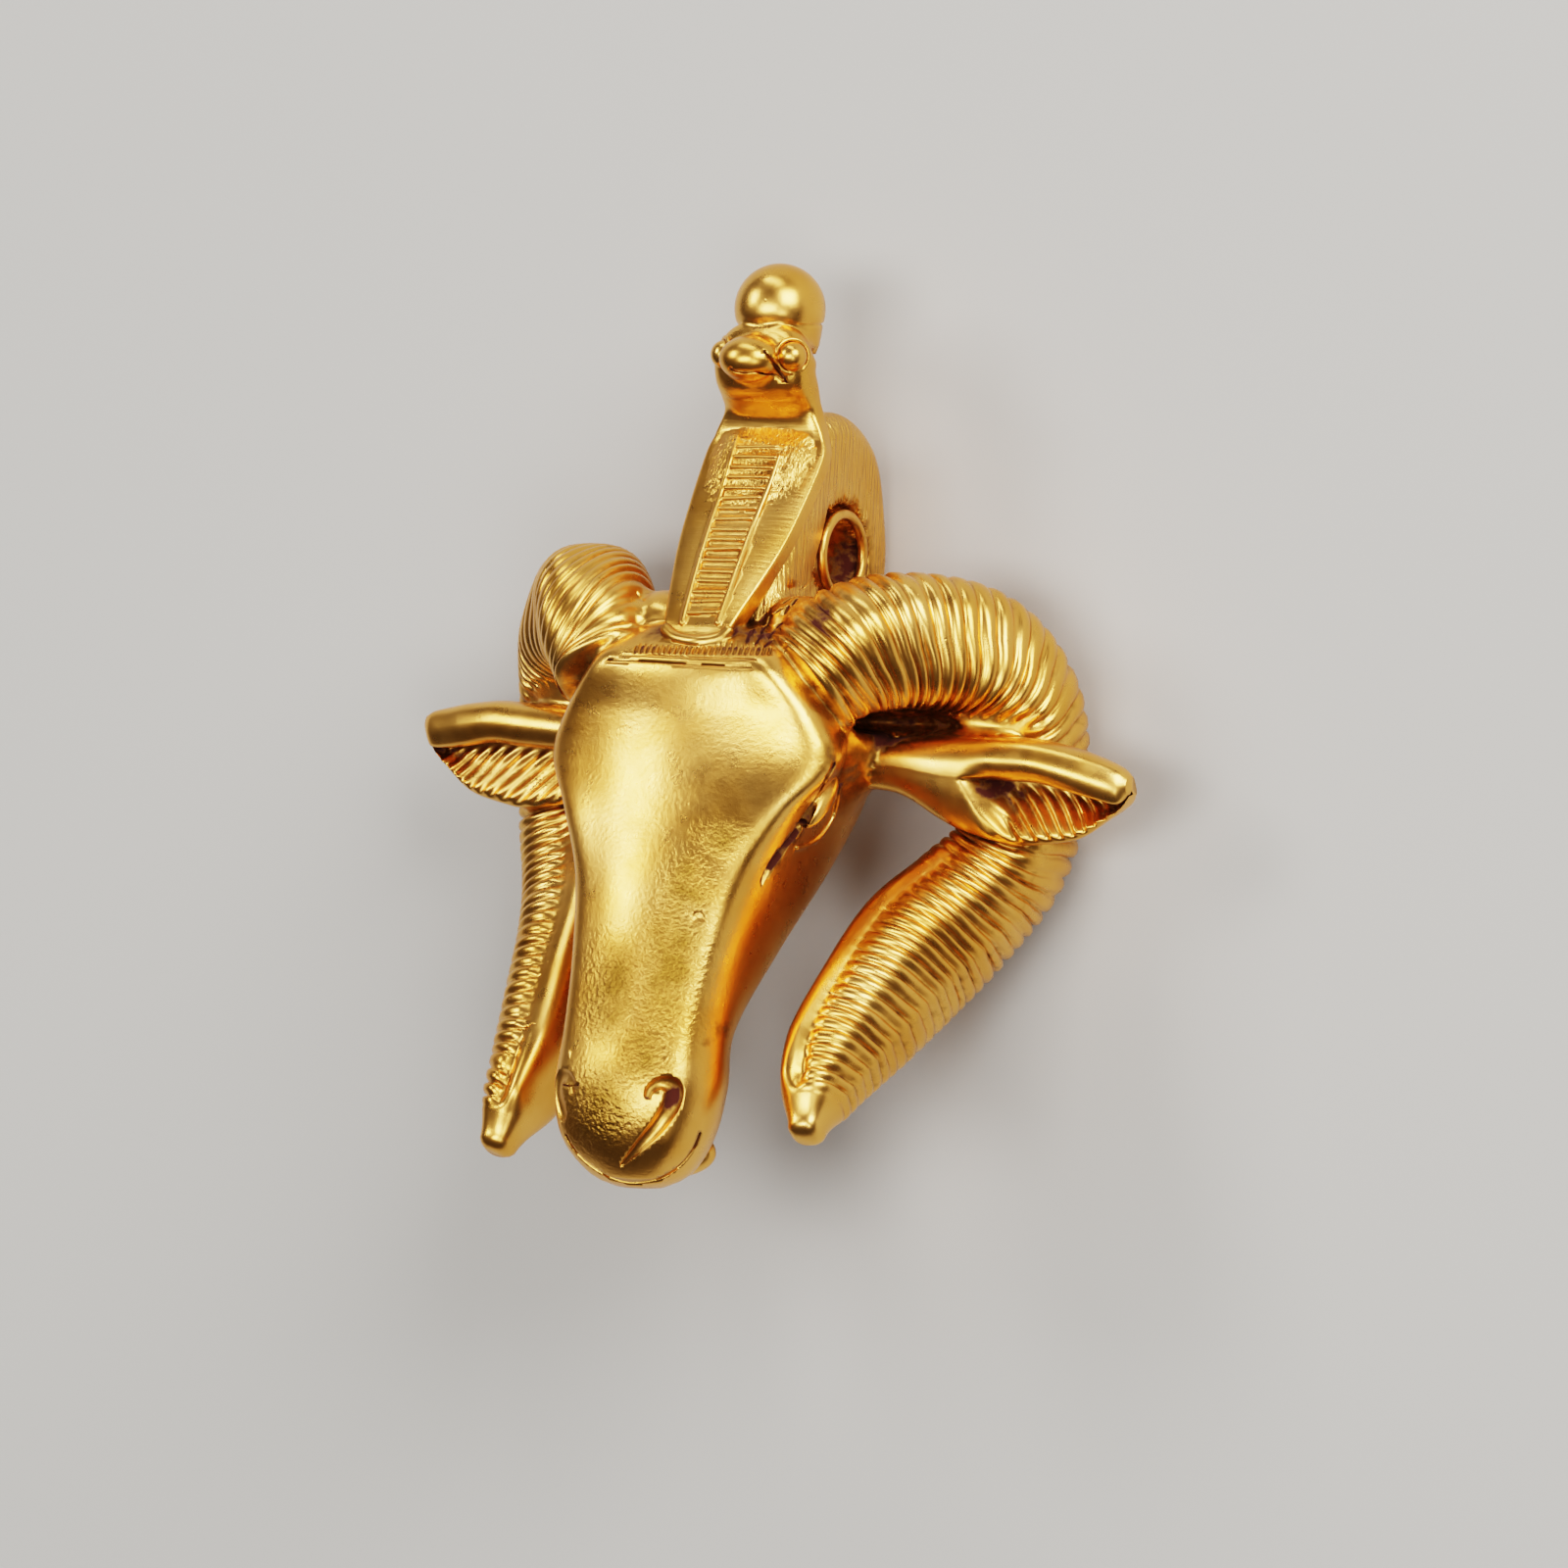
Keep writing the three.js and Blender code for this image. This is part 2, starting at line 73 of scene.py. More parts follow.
def spline(rows, t, even=True):
    """Values on a Catmull-Rom curve through the rows, where t counts rows from 0.
    One that isn't even keeps its corners tight."""
    rows = np.asarray(rows, float)
    last = len(rows) - 1
    t = np.clip(np.asarray(t, float), 0, last)
    i = np.minimum(t.astype(int), last - 1)
    f = (t - i)[..., None]
    ends = (rows[0], rows[-1]) if even else (2 * rows[0] - rows[1], 2 * rows[-1] - rows[-2])
    padded = np.vstack([ends[0], rows, ends[1]])
    a, b, c, d = (padded[i + k] for k in range(4))
    gaps = [np.ones(f.shape)] * 3
    if not even:
        gaps = [np.sqrt(np.linalg.norm(q - p, axis=-1, keepdims=True)) for p, q in ((a, b), (b, c), (c, d))]
    g, h, k = gaps
    leave = ((b - a) / g - (c - a) / (g + h) + (c - b) / h) * h
    arrive = ((c - b) / h - (d - b) / (h + k) + (d - c) / k) * h
    return b + f * (leave + f * (3 * (c - b) - 2 * leave - arrive + f * (2 * (b - c) + leave + arrive)))


def smooth(low, high, value):
    """0 below low, 1 above high and an eased slope between."""
    f = np.clip((np.asarray(value, float) - low) / (high - low), 0, 1)
    return f * f * (3 - 2 * f)


forms = []


def in_scene(name, data):
    obj = bpy.data.objects.new(name, data)
    bpy.context.scene.collection.objects.link(obj)
    return obj


def mesh_object(name, points, faces):
    """A mesh whose faces carry the number of the form that they belong to, also through booleans."""
    mesh = bpy.data.meshes.new(name)
    mesh.from_pydata([tuple(p) for p in points], [], faces)
    if name not in forms:
        forms.append(name)
    number = mesh.attributes.new("form", "INT", "FACE")
    number.data.foreach_set("value", [forms.index(name)] * len(mesh.polygons))
    return in_scene(name, mesh)


def skin(name, rings):
    """A closed skin over rings of points with a fan over each end, its faces turned outward."""
    rings = np.asarray(rings, float)
    count, sides = rings.shape[:2]
    points = np.vstack([rings.reshape(-1, 3), rings[0].mean(0), rings[-1].mean(0)])
    r, k = np.meshgrid(np.arange(count - 1), np.arange(sides), indexing="ij")
    here, beside = r * sides + k, r * sides + (k + 1) % sides
    faces = np.stack([here, beside, beside + sides, here + sides], -1).reshape(-1, 4).tolist()
    for k in range(sides):
        faces.append([(k + 1) % sides, k, count * sides])
        top = (count - 1) * sides
        faces.append([top + k, top + (k + 1) % sides, count * sides + 1])
    obj = mesh_object(name, points, faces)
    made = bmesh.new()
    made.from_mesh(obj.data)
    bmesh.ops.triangulate(made, faces=made.faces)
    if made.calc_volume(signed=True) < 0:
        bmesh.ops.reverse_faces(made, faces=made.faces)
    made.to_mesh(obj.data)
    made.free()
    return obj


def make_face():
    t = []
    for i in range(len(FACE) - 1):
        steps = max(3, round((FACE[i + 1][0] - FACE[i][0]) / FACE_LEVEL_GAP))
        t.extend(i + np.arange(steps) / steps)
    t.append(len(FACE) - 1)
    rings = []
    for z, front, back, edge, edge_y, cheek, cheek_y, jaw, jaw_y in spline(FACE, np.array(t)):
        knee, knee_y = edge * FACE_KNEE, front + (edge_y - front) * FACE_KNEE_DROP
        half = [
            (-knee, knee_y), (0, front), (knee, knee_y), (edge, edge_y),
            (cheek, cheek_y), (jaw, jaw_y), (0, back), (-jaw, jaw_y),
        ]
        right = spline(half, 1 + np.linspace(0, 5, FACE_PER_SIDE + 1), even=False)
        left = right[1:-1][::-1] * (-1, 1)
        level = np.vstack([right, left])
        for _ in range(FACE_WORN):
            level = 0.5 * level + 0.25 * (np.roll(level, 1, 0) + np.roll(level, -1, 0))
        rings.append(np.column_stack([level, np.full(len(level), z)]))
    return skin("face", rings)


face = make_face()

# The skull and crown
# A plain egg behind the forehead, which the horns, the ears, the cobra and the lug all grow from. Two low
# mounds beside the cobra's foot carry the wool.
SKULL, SKULL_HALF = (0, 12.6, 19.8), (6.7, 5.3, 5.7)
CROWN, CROWN_HALF = (3.5, 11.2, 24.1), (1.8, 1.9, 1.55)


def pebble(name, at, half, along=(0, 0, 1), rings=24, sides=36):
    """A ball stretched to its three half sizes, the last of them along a line."""
    rise = np.linspace(-math.pi / 2, math.pi / 2, rings + 1)[1:-1]
    turn = np.arange(sides) / sides * 2 * math.pi
    ball = np.stack([
        np.outer(np.cos(rise), np.cos(turn)),
        np.outer(np.cos(rise), np.sin(turn)),
        np.outer(np.sin(rise), np.ones(sides)),
    ], -1) * half
    way = Vector((0, 0, 1)).rotation_difference(Vector(along)).to_matrix()
    return skin(name, ball @ np.array(way).T + at)


def mirrored(at, side):
    return (side * at[0], at[1], at[2])


skull = pebble("skull", SKULL, SKULL_HALF, rings=40, sides=64)
crown = [pebble("skull", mirrored(CROWN, side), CROWN_HALF) for side in (-1, 1)]

# The horns
# They spring from the crown, curl back behind the ears and come forward under them to a polished tip. The
# growth rings were cut with a graver, a little unevenly. On the lower half they stop at a smooth bar along
# the inner edge, beside a groove that widens to a spoon, and the side turned to the cheek has no rings.
HORN = [  # x, y, z, half width along the curl's plane, half width across it
    (4.9, 9.3, 21.8, 2.6, 2.4),
    (6.2, 10.7, 23.2, 3.0, 2.75),
    (8.1, 13.0, 23.7, 3.05, 2.75),
    (10.2, 15.4, 22.9, 2.9, 2.65),
    (11.4, 17.1, 20.7, 2.6, 2.5),
    (11.6, 17.6, 17.3, 2.5, 2.4),
    (11.1, 16.7, 14.1, 2.75, 2.45),
    (9.7, 14.8, 11.6, 3.0, 2.5),
    (8.5, 12.6, 9.7, 3.2, 2.5),
    (7.8, 9.8, 7.5, 2.9, 2.2),
    (7.3, 7.1, 5.4, 2.3, 1.9),
    (7.4, 5.5, 4.0, 1.75, 1.4),
    (7.6, 4.5, 2.8, 0.9, 0.8),
]
HORN_PITCH = 0.65
HORN_GROOVE = 0.23
HORN_SLANT = 0.3
HORN_TWIST = 0.6
HORN_SQUARE = 2.5
HORN_SIDES = 50
HORN_FINE_STEPS = 2400
LEFT_HORN_OUT, LEFT_HORN_SPREAD = 0.25, 0.35  # the left horn stands wider, more so at its tip
LEFT_HORN_RISE, LEFT_HORN_DROP = 0.8, 2.3  # it springs higher and hangs lower
RING_STEPS = (0.0, 0.14, 0.34, 0.66, 0.86)
RING_UNEVEN = 0.14
RING_WAVE = 0.05
RING_BACK_LEAN = 0.55
GROOVE_WIDTH, GROOVE_SWEEP = 0.14, 0.3
LOWER_HALF = (5.6, 7.2)  # the stations between which the bar starts
BARE_FROM, BARE_TO = (84, 97), (246, 258)  # the side without rings, in degrees round the horn
BAR_ANGLE, BAR_WIDTH, BAR_HEIGHT = 122, 17, 0.2
BAR_GROOVE_ANGLE, BAR_GROOVE_WIDTH, BAR_GROOVE_DEPTH = 97, 5, 0.24
SPOON, SPOON_WIDTH, SPOON_DEPTH = (9.8, 11.2), 7, 0.28
KEEL_WIDTH, KEEL_HEIGHT, KEEL_END = 11, 0.16, 11.4  # a soft ridge along the outside
PLAIN_TIP = (1.9, 1.0)
TIP_STEPS, TIP_LENGTH = (0.3, 0.6, 0.85), 0.6
draw = np.random.default_rng(11)


def cut_rings(length):
    """Rows along a horn with how far each is through its growth ring, and which ring that is."""
    rings = round(length / HORN_PITCH)
    widths = 1 + draw.uniform(-RING_UNEVEN, RING_UNEVEN, rings)
    starts = np.concatenate([[0], np.cumsum(widths)])
    starts *= length / starts[-1]
    rows, phases, order = [], [], []
    for n in range(rings):
        for phase in RING_STEPS:
            rows.append(starts[n] + phase * (starts[n + 1] - starts[n]))
            phases.append(phase)
            order.append(n)
    rows.append(length)
    phases.append(0.0)
    order.append(rings)
    return (np.array(v)[:, None] for v in (rows, phases, order))


def horn_relief(angle, at, where, length, phases, order):
    """How far each point stands proud of the plain horn, or sinks into it."""
    degrees = np.degrees(angle)
    near = np.minimum(phases, 1 - phases)
    groove = np.exp(-((near / GROOVE_WIDTH) ** 2)) + GROOVE_SWEEP * (1 - 2 * near) ** 2
    cut = HORN_GROOVE * (0.85 + 0.3 * np.sin(order * 1.7 + angle * 3)) * groove
    low = smooth(*LOWER_HALF, where)
    field = 1 - low * smooth(*BARE_FROM, degrees) * smooth(-BARE_TO[1], -BARE_TO[0], -degrees)
    plain = smooth(length - PLAIN_TIP[0], length - PLAIN_TIP[1], at)
    proud = -cut * field * (1 - plain)
    bar = low * (1 - plain)
    proud += bar * BAR_HEIGHT * np.exp(-(((degrees - BAR_ANGLE) / BAR_WIDTH) ** 2))
    spoon = smooth(*SPOON, where)
    width = BAR_GROOVE_WIDTH + SPOON_WIDTH * spoon
    beside_bar = np.exp(-(((degrees - BAR_GROOVE_ANGLE) / width) ** 2))
    proud -= bar * (BAR_GROOVE_DEPTH + SPOON_DEPTH * spoon) * beside_bar
    keel = np.exp(-(((degrees + 180) % 360 - 180) / KEEL_WIDTH) ** 2)
    return proud + low * KEEL_HEIGHT * keel * smooth(0, 1, KEEL_END - where)


def make_horn(side):
    last = len(HORN) - 1
    stations = np.array(HORN)
    i = np.arange(last + 1) / last
    uneven = 1 if side < 0 else 0
    stations[:, 0] = side * (stations[:, 0] + uneven * (LEFT_HORN_OUT + LEFT_HORN_SPREAD * i**2))
    stations[:, 2] += uneven * (LEFT_HORN_RISE * np.minimum(i * 6, 1) - LEFT_HORN_DROP * i**2)

    t = np.linspace(0, last, HORN_FINE_STEPS)
    path = spline(stations[:, :3], t, even=False)
    run = np.concatenate([[0], np.cumsum(np.linalg.norm(np.diff(path, axis=0), axis=1))])
    length = run[-1]

    # The rings slant round the horn and waver a little.
    rows, phases, order = cut_rings(length)
    angle = (np.arange(HORN_SIDES) / HORN_SIDES * 2 * math.pi)[None]
    a, b = np.cos(angle), np.sin(angle)
    deep = np.interp(rows, run, spline(stations[:, 3:], t)[:, 0])
    ends = smooth(0, 3, rows) * smooth(0, 2.5, length - rows)
    wave = RING_WAVE * np.sin(order * 2.4 + angle * 2) * np.sin(order * 0.9 + 1.3)
    lean = np.where(b > 0, b, b * RING_BACK_LEAN)
    twist = uneven * HORN_TWIST * a * deep * (1 - smooth(4, 10, rows))
    slanted = rows + ends * (lean * deep * HORN_SLANT + wave) - twist * smooth(0, 2, rows)
    at = np.clip(slanted, 0, length)

    where = np.interp(at, run, t)
    centre = spline(stations[:, :3], where, even=False)
    after, before = (spline(stations[:, :3], where + gap, even=False) for gap in (0.01, -0.01))
    ahead = after - before
    ahead /= np.linalg.norm(ahead, axis=-1, keepdims=True)
    across = np.array([side, 0, 0]) - ahead * side * ahead[..., :1]
    across /= np.linalg.norm(across, axis=-1, keepdims=True)
    inner = np.cross(ahead, across) * side
    size = spline(stations[:, 3:], where)
    square = (np.abs(a) ** HORN_SQUARE + np.abs(b) ** HORN_SQUARE) ** (-1 / HORN_SQUARE)
    proud = horn_relief(angle, at, where, length, phases, order)
    points = centre.copy()
    points += across * (a * (square * size[..., 1] + proud))[..., None]
    points += inner * (b * (square * size[..., 0] + proud))[..., None]
    cap = [points]
    tip, way = centre[-1].mean(0), ahead[-1].mean(0)
    for f in TIP_STEPS:
        shrunk = tip + (points[-1] - tip) * math.sqrt(1 - f * f) + way * f * TIP_LENGTH
        cap.append(shrunk[None])
    return skin("horn", np.vstack(cap))


horns = [make_horn(1), make_horn(-1)]

# The ears
# Each is a round stem that opens into a pointed dish with a rolled upper rim. The dish is ribbed like the
# hair inside a ram's ear, and webs of gold behind it join the ear to the horn, with a slit between them.
EAR = [  # x, y, top, lower edge of the rolled rim, bottom, how far the section reaches forward
    (4.6, 13.0, 18.8, 17.9, 17.0, 0.9),
    (7.2, 13.6, 19.35, 18.2, 16.85, 1.0),
    (9.7, 13.9, 19.55, 17.9, 15.5, 1.0),
    (12.2, 14.1, 19.55, 17.8, 14.8, 0.95),
    (14.0, 14.2, 19.45, 17.75, 14.85, 0.9),
    (15.7, 14.4, 19.1, 17.3, 15.15, 0.82),
    (16.9, 14.6, 18.7, 16.95, 15.9, 0.72),
    (17.7, 14.7, 18.35, 16.8, 16.5, 0.58),
    (18.1, 14.75, 18.0, 17.2, 17.1, 0.35),
]
EAR_SECTION = [  # forward, and up: 1 at the top, 0 at the rim's lower edge, -1 at the bottom
    (0.0, 1.0), (0.9, 0.86), (1.3, 0.42), (0.95, 0.0), (-0.75, -0.05), (-0.5, -0.36),
    (0.35, -0.88), (0.1, -1.0), (-0.9, -0.86), (-1.6, -0.42), (-1.7, 0.05), (-1.0, 0.84),
]
EAR_STEM = [  # the same points on the stem, where the dish hasn't sunk in yet
    (0.0, 1.0), (0.85, 0.86), (1.25, 0.42), (1.3, 0.0), (1.28, -0.08), (1.15, -0.4),
    (0.7, -0.86), (0.1, -1.0), (-0.9, -0.86), (-1.6, -0.42), (-1.7, 0.05), (-1.0, 0.84),
]
EAR_OPENS = {1: 2.3, -1: 1.0}  # the station where the right and the left dish start
EAR_OPENING, EAR_LAG = 0.6, 0.15
EAR_RISE = 1.25  # the left ear's tip stands this much higher
EAR_STEPS = 140
EAR_PER_SPAN, EAR_PER_RIBBED_SPAN = 4, 12
RIB_PITCH, RIB_DEPTH, RIB_LEAN = 0.86, 0.11, 1.0
RIBBED_FROM, RIBBED_TO, RIBBED_END = (4.2, 4.8), (5.9, 6.5), 7.2  # points of the section, and a station
WEB, WEB_HALF = (10.4, 15.5, 19.7), (1.5, 1.5, 2.9)
BACK_WEB, BACK_WEB_HALF = (7.6, 15.4, 20.0), (1.9, 0.9, 2.6)
SLIT, SLIT_HALF = (7.3, 12.9, 20.05), (0.6, 2.5, 2.9)
WEB_RISE = 0.6 * EAR_RISE


def make_ear(side):
    last = len(EAR) - 1
    rise = EAR_RISE if side < 0 else 0
    t = np.linspace(0, last, EAR_STEPS + 1)
    x, y, top, fold, bottom, deep = (v[:, None] for v in spline(EAR, t).T)
    t = t[:, None]
    spans = [EAR_PER_RIBBED_SPAN if 4 <= n < 6 else EAR_PER_SPAN for n in range(12)]
    around = np.concatenate([n + np.arange(count) / count for n, count in enumerate(spans)])
    dished, stem = (spline(loop[-2:] + loop + loop[:2], around + 2, even=False)
                    for loop in (EAR_SECTION, EAR_STEM))
    opens = smooth(0, EAR_OPENING, t - EAR_OPENS[side] - EAR_LAG * np.clip(around - 4, 0, 2))
    forward = stem[:, 0] + (dished[:, 0] - stem[:, 0]) * opens
    up = stem[:, 1] + (dished[:, 1] - stem[:, 1]) * opens
    height = fold + np.where(up > 0, up * (top - fold), up * (fold - bottom))
    dish = smooth(*RIBBED_FROM, around) * (1 - smooth(*RIBBED_TO, around))
    dish = dish * opens * smooth(0, 1.2, RIBBED_END - t)
    rib = np.sin((x + (height - fold) * RIB_LEAN) / RIB_PITCH * 2 * math.pi)
    forward = forward + dish * RIB_DEPTH * rib / deep
    lift = rise * t / last
    points = np.stack([side * x + 0 * up, y - forward * deep, height + lift], -1)
    return skin("ear", points)


def make_webs(side):
    shift = np.array((0, 0, WEB_RISE if side < 0 else 0))
    mirror = np.array((side, 1, 1))
    behind = pebble("web", BACK_WEB * mirror + shift, BACK_WEB_HALF, (side, 0.1, 0.1))
    return [pebble("web", WEB * mirror + shift, WEB_HALF, (side, 0.2, 0.1)), behind]


ears = [make_ear(1), make_ear(-1)]
webs = make_webs(1) + make_webs(-1)

# The cobra
# It rears on the forehead: a flat hood with thin raised edges, a hollow throat and a blunt head. The body is
# one plate that thickens into the head. The eyes are balls, each in a ring of wire.
COBRA = [  # y, z, half the width, half the thickness
    (8.2, 24.0, 1.7, 0.5),
    (8.7, 24.7, 1.9, 0.5),
    (10.9, 27.3, 2.65, 0.45),
    (12.6, 29.4, 2.95, 0.45),
    (14.2, 31.5, 3.05, 0.45),
    (14.65, 32.5, 2.75, 0.5),
    (14.75, 33.5, 2.4, 0.7),
    (14.4, 34.5, 2.35, 1.1),
    (14.0, 35.3, 2.35, 1.3),
    (14.1, 36.1, 2.3, 1.35),
    (14.6, 36.8, 1.8, 1.3),
]
SNOUT, SNOUT_HALF = (0.05, 12.6, 36.0), (1.45, 1.3, 1.05)
COBRA_EYE = (1.87, 13.15, 36.13)
COBRA_FAR_EYE_SHIFT = 0.3
COBRA_EYE_BALL = 0.66
COBRA_EYE_RING, COBRA_EYE_ROD = 0.76, 0.11
COBRA_EYE_WAY = (0.72, -0.69, 0.05)
COBRA_CUTS = [  # the pixels that a cut runs through, and half its width and its depth at each
    ("cheek", [(779, 358), (787, 367), (796, 380), (803, 391)],
     (0.06, 0.09, 0.1, 0.06), (0.12, 0.18, 0.2, 0.1)),
    ("cobra_mouth", [(744, 376), (756, 380), (772, 380), (788, 382), (800, 390)], 0.08, 0.14),
]
COBRA_STEPS = 110
COBRA_SIDES = 84
HOOD_RIM, HOOD_RIM_WIDTH = 0.1, 0.16
HOOD_HOLLOW, THROAT_HOLLOW = 0.1, 0.28
THROAT_FROM, THROAT_TO = (4.2, 6.2), (7.2, 8.2)
NECK_SQUARE, HOOD_SQUARE = 2.8, 4.2  # how square the neck's section is, and how much more the hood's


def make_cobra():
    last = len(COBRA) - 1
    t = np.linspace(0, last, COBRA_STEPS + 1)
    y, z, half, thick = (v[:, None] for v in spline(COBRA, t).T)
    step = spline(COBRA, np.minimum(t + 0.1, last)) - spline(COBRA, np.maximum(t - 0.1, 0))
    out = np.stack([0 * t, -step[:, 1], step[:, 0]], -1)
    out /= np.linalg.norm(out, axis=1, keepdims=True)
    angle = (np.arange(COBRA_SIDES) / COBRA_SIDES * 2 * math.pi)[None]
    a, b = np.cos(angle), np.sin(angle)
    power = NECK_SQUARE + HOOD_SQUARE * (1 - smooth(5, 6.5, t))[:, None]
    square = (np.abs(a) ** power + np.abs(b) ** power) ** (-1 / power)
    plate = (1 - smooth(4.6, 6, t))[:, None]
    rim = HOOD_RIM * np.exp(-(((1 - np.abs(a * square)) * half / HOOD_RIM_WIDTH) ** 2)) * (b < 0)
    throat = smooth(*THROAT_FROM, t)[:, None] * (1 - smooth(*THROAT_TO, t)[:, None])
    hollow = HOOD_HOLLOW * plate + THROAT_HOLLOW * throat
    hollow = hollow * np.clip(1 - (a * square) ** 2, 0, 1) * (b < 0)
    depth = b * square * thick - plate * rim + hollow
    points = np.zeros((len(t), COBRA_SIDES, 3))
    points[..., 0] = a * square * half
    points[..., 1], points[..., 2] = y, z
    points += out[:, None] * depth[..., None]
    return skin("cobra", points)


def hoop(name, at, way, radius, rod, turns=40, sides=12):
    """A closed ring of round rod that faces along way."""
    turn = Vector((0, 0, 1)).rotation_difference(Vector(way)).to_matrix()
    around = np.arange(turns) / turns * 2 * math.pi
    section = np.arange(sides) / sides * 2 * math.pi
    reach = radius + rod * np.cos(section)
    points = np.stack([
        np.outer(np.cos(around), reach), np.outer(np.sin(around), reach),
        np.outer(np.ones(turns), rod * np.sin(section)),
    ], -1).reshape(-1, 3) @ np.array(turn).T + at
    faces = []
    for r in range(turns):
        for k in range(sides):
            here, ahead = r * sides, (r + 1) % turns * sides
            beside = (k + 1) % sides
            faces.append((here + k, ahead + k, ahead + beside, here + beside))
    return mesh_object(name, points, faces)


def make_cobra_eyes():
    made = []
    for side, inward in ((-1, COBRA_FAR_EYE_SHIFT), (1, 0)):
        at = mirrored((COBRA_EYE[0] - inward, *COBRA_EYE[1:]), side)
        way = mirrored(COBRA_EYE_WAY, side)
        made.append(pebble("cobra_eye", at, (COBRA_EYE_BALL,) * 3, way))
        made.append(hoop("eye_ring", at, way, COBRA_EYE_RING, COBRA_EYE_ROD))
    return made


cobra = make_cobra()
snout = pebble("snout", SNOUT, SNOUT_HALF, sides=40)
cobra_eyes = make_cobra_eyes()

# The sun disc
# A ball that sits in a low collar on the cobra's head. Both were turned in the wax, with a fine line
# between them.
SUN_MIDDLE = (0, 15.3, 38.1)
SUN_RADIUS = 2.04
SUN_FROM, SUN_TO, SUN_STEPS = -0.28, 1.54, 26  # the ball's slope where it leaves the collar and at its top
SUN_PROFILE = [  # radius and height above the ball's middle, from the collar's foot up
    (1.6, -2.0), (1.76, -1.6), (1.84, -1.2), (1.9, -0.86), (1.9, -0.74), (1.82, -0.66), (1.95, -0.58),
]


def make_sun(sides=64):
    slopes = np.linspace(SUN_FROM, SUN_TO, SUN_STEPS)
    profile = SUN_PROFILE + [(SUN_RADIUS * math.cos(k), SUN_RADIUS * math.sin(k)) for k in slopes]
    turn = np.arange(sides) / sides * 2 * math.pi
    rings = [[(r * math.cos(k), r * math.sin(k), z) for k in turn] for r, z in profile]
    return skin("sun", np.array(rings) + SUN_MIDDLE)


sun = make_sun()

# The lug
# A thick rounded strap of gold behind the cobra, drilled from side to side for the cord. A soft raised lip
# goes round each mouth of the hole, which the cord wore bright.
LUG_OUTLINE = [
    (14.8, 31.8), (17.0, 32.35), (19.1, 31.1), (19.85, 28.6), (19.9, 26.2),
    (18.6, 23.4), (14.0, 21.6), (11.0, 24.0), (13.0, 28.6),
]
LUG_HALF_WIDTH = 2.6
LUG_ROUNDING = 1.1
LUG_STEPS = 110
LUG_FLAT_RINGS = (0.05, 0.3, 0.55, 0.8)
CORD_HOLE = (0, 16.5, 27.1)
CORD_HOLE_RADIUS = 1.68
DRILL_MOUTH = [(1.0, 0.2), (0.0, 0.06), (-0.12, 0.02), (-0.3, 0.0)]  # past the lug's side, and wider by
LIP_OUT, LIP_WIDER, LIP_ROD = 2.52, 0.15, 0.24


def make_lug():
    loop = LUG_OUTLINE[-2:] + LUG_OUTLINE + LUG_OUTLINE[:2]
    t = np.arange(LUG_STEPS) / LUG_STEPS * len(LUG_OUTLINE) + 2
    line = spline(loop, t, even=False)
    along = spline(loop, t + 0.02, even=False) - spline(loop, t - 0.02, even=False)
    normal = np.column_stack([-along[:, 1], along[:, 0]])
    normal /= np.linalg.norm(normal, axis=1, keepdims=True)
    middle = line.mean(0)
    if np.sum(normal * (line - middle)) < 0:
        normal = -normal
    flat = LUG_HALF_WIDTH - LUG_ROUNDING
    side = [(LUG_HALF_WIDTH, f, 0) for f in LUG_FLAT_RINGS]
    for k in np.linspace(90, 8, 12):
        k = math.radians(k)
        side.append((flat + LUG_ROUNDING * math.sin(k), 1, LUG_ROUNDING * math.cos(k)))
    rows = side + [(0, 1, LUG_ROUNDING + 0.06)] + [(-x, f, grow) for x, f, grow in reversed(side)]
    rings = []
    for x, f, grow in rows:
        level = middle + (line - middle) * f + normal * grow
        rings.append(np.column_stack([np.full(LUG_STEPS, x), level]))
    return skin("lug", rings)


def make_drill():
    """What the cord hole takes away, with its mouths worn a little wider."""
    profile = [(LUG_HALF_WIDTH + out, CORD_HOLE_RADIUS + wider) for out, wider in DRILL_MOUTH]
    profile += [(-x, radius) for x, radius in reversed(profile)]
    turn = np.arange(72) / 72 * 2 * math.pi
    rings = [[(x, radius * math.cos(k), radius * math.sin(k)) for k in turn] for x, radius in profile]
    return skin("drill", np.array(rings) + CORD_HOLE)


def combine(body, others, operation):
    """Fuses other solids with the body, or cuts them out of it, and leaves one solid."""
    box = bpy.data.collections.new("tools")
    for other in others:
        box.objects.link(other)
    step = body.modifiers.new("combine", "BOOLEAN")
    step.solver = "MANIFOLD"
    step.operation = operation
    step.operand_type = "COLLECTION"
    step.collection = box
    bpy.context.view_layer.update()
    done = bpy.data.meshes.new_from_object(body.evaluated_get(bpy.context.evaluated_depsgraph_get()))
    body.modifiers.remove(step)
    body.data = done
    bpy.data.collections.remove(box)
    for other in others:
        bpy.data.objects.remove(other)
    return body


lips = []
for side in (-1, 1):
    mouth = (side * LIP_OUT, *CORD_HOLE[1:])
    lips.append(hoop("lip", mouth, (1, 0, 0), CORD_HOLE_RADIUS + LIP_WIDER, LIP_ROD, turns=72))
lug = combine(make_lug(), [make_drill()], "DIFFERENCE")

# The casting
# The forms are fused in one, as the wax was before it was cast, and the joints between them are rounded.
# The cobra's eyes and the lips of the cord hole come after that, because they are crisp.
SEAM_REACH = 0.45
SEAM_ROUNDS, SEAM_PULL = 14, 0.6


def mesh_arrays(mesh):
    """The points, the edges and how many edges meet at each point."""
    points = np.zeros(len(mesh.vertices) * 3)
    mesh.vertices.foreach_get("co", points)
    edges = np.zeros(len(mesh.edges) * 2, np.int32)
    mesh.edges.foreach_get("vertices", edges)
    return points.reshape(-1, 3), edges.reshape(-1, 2), np.bincount(edges, minlength=len(mesh.vertices))


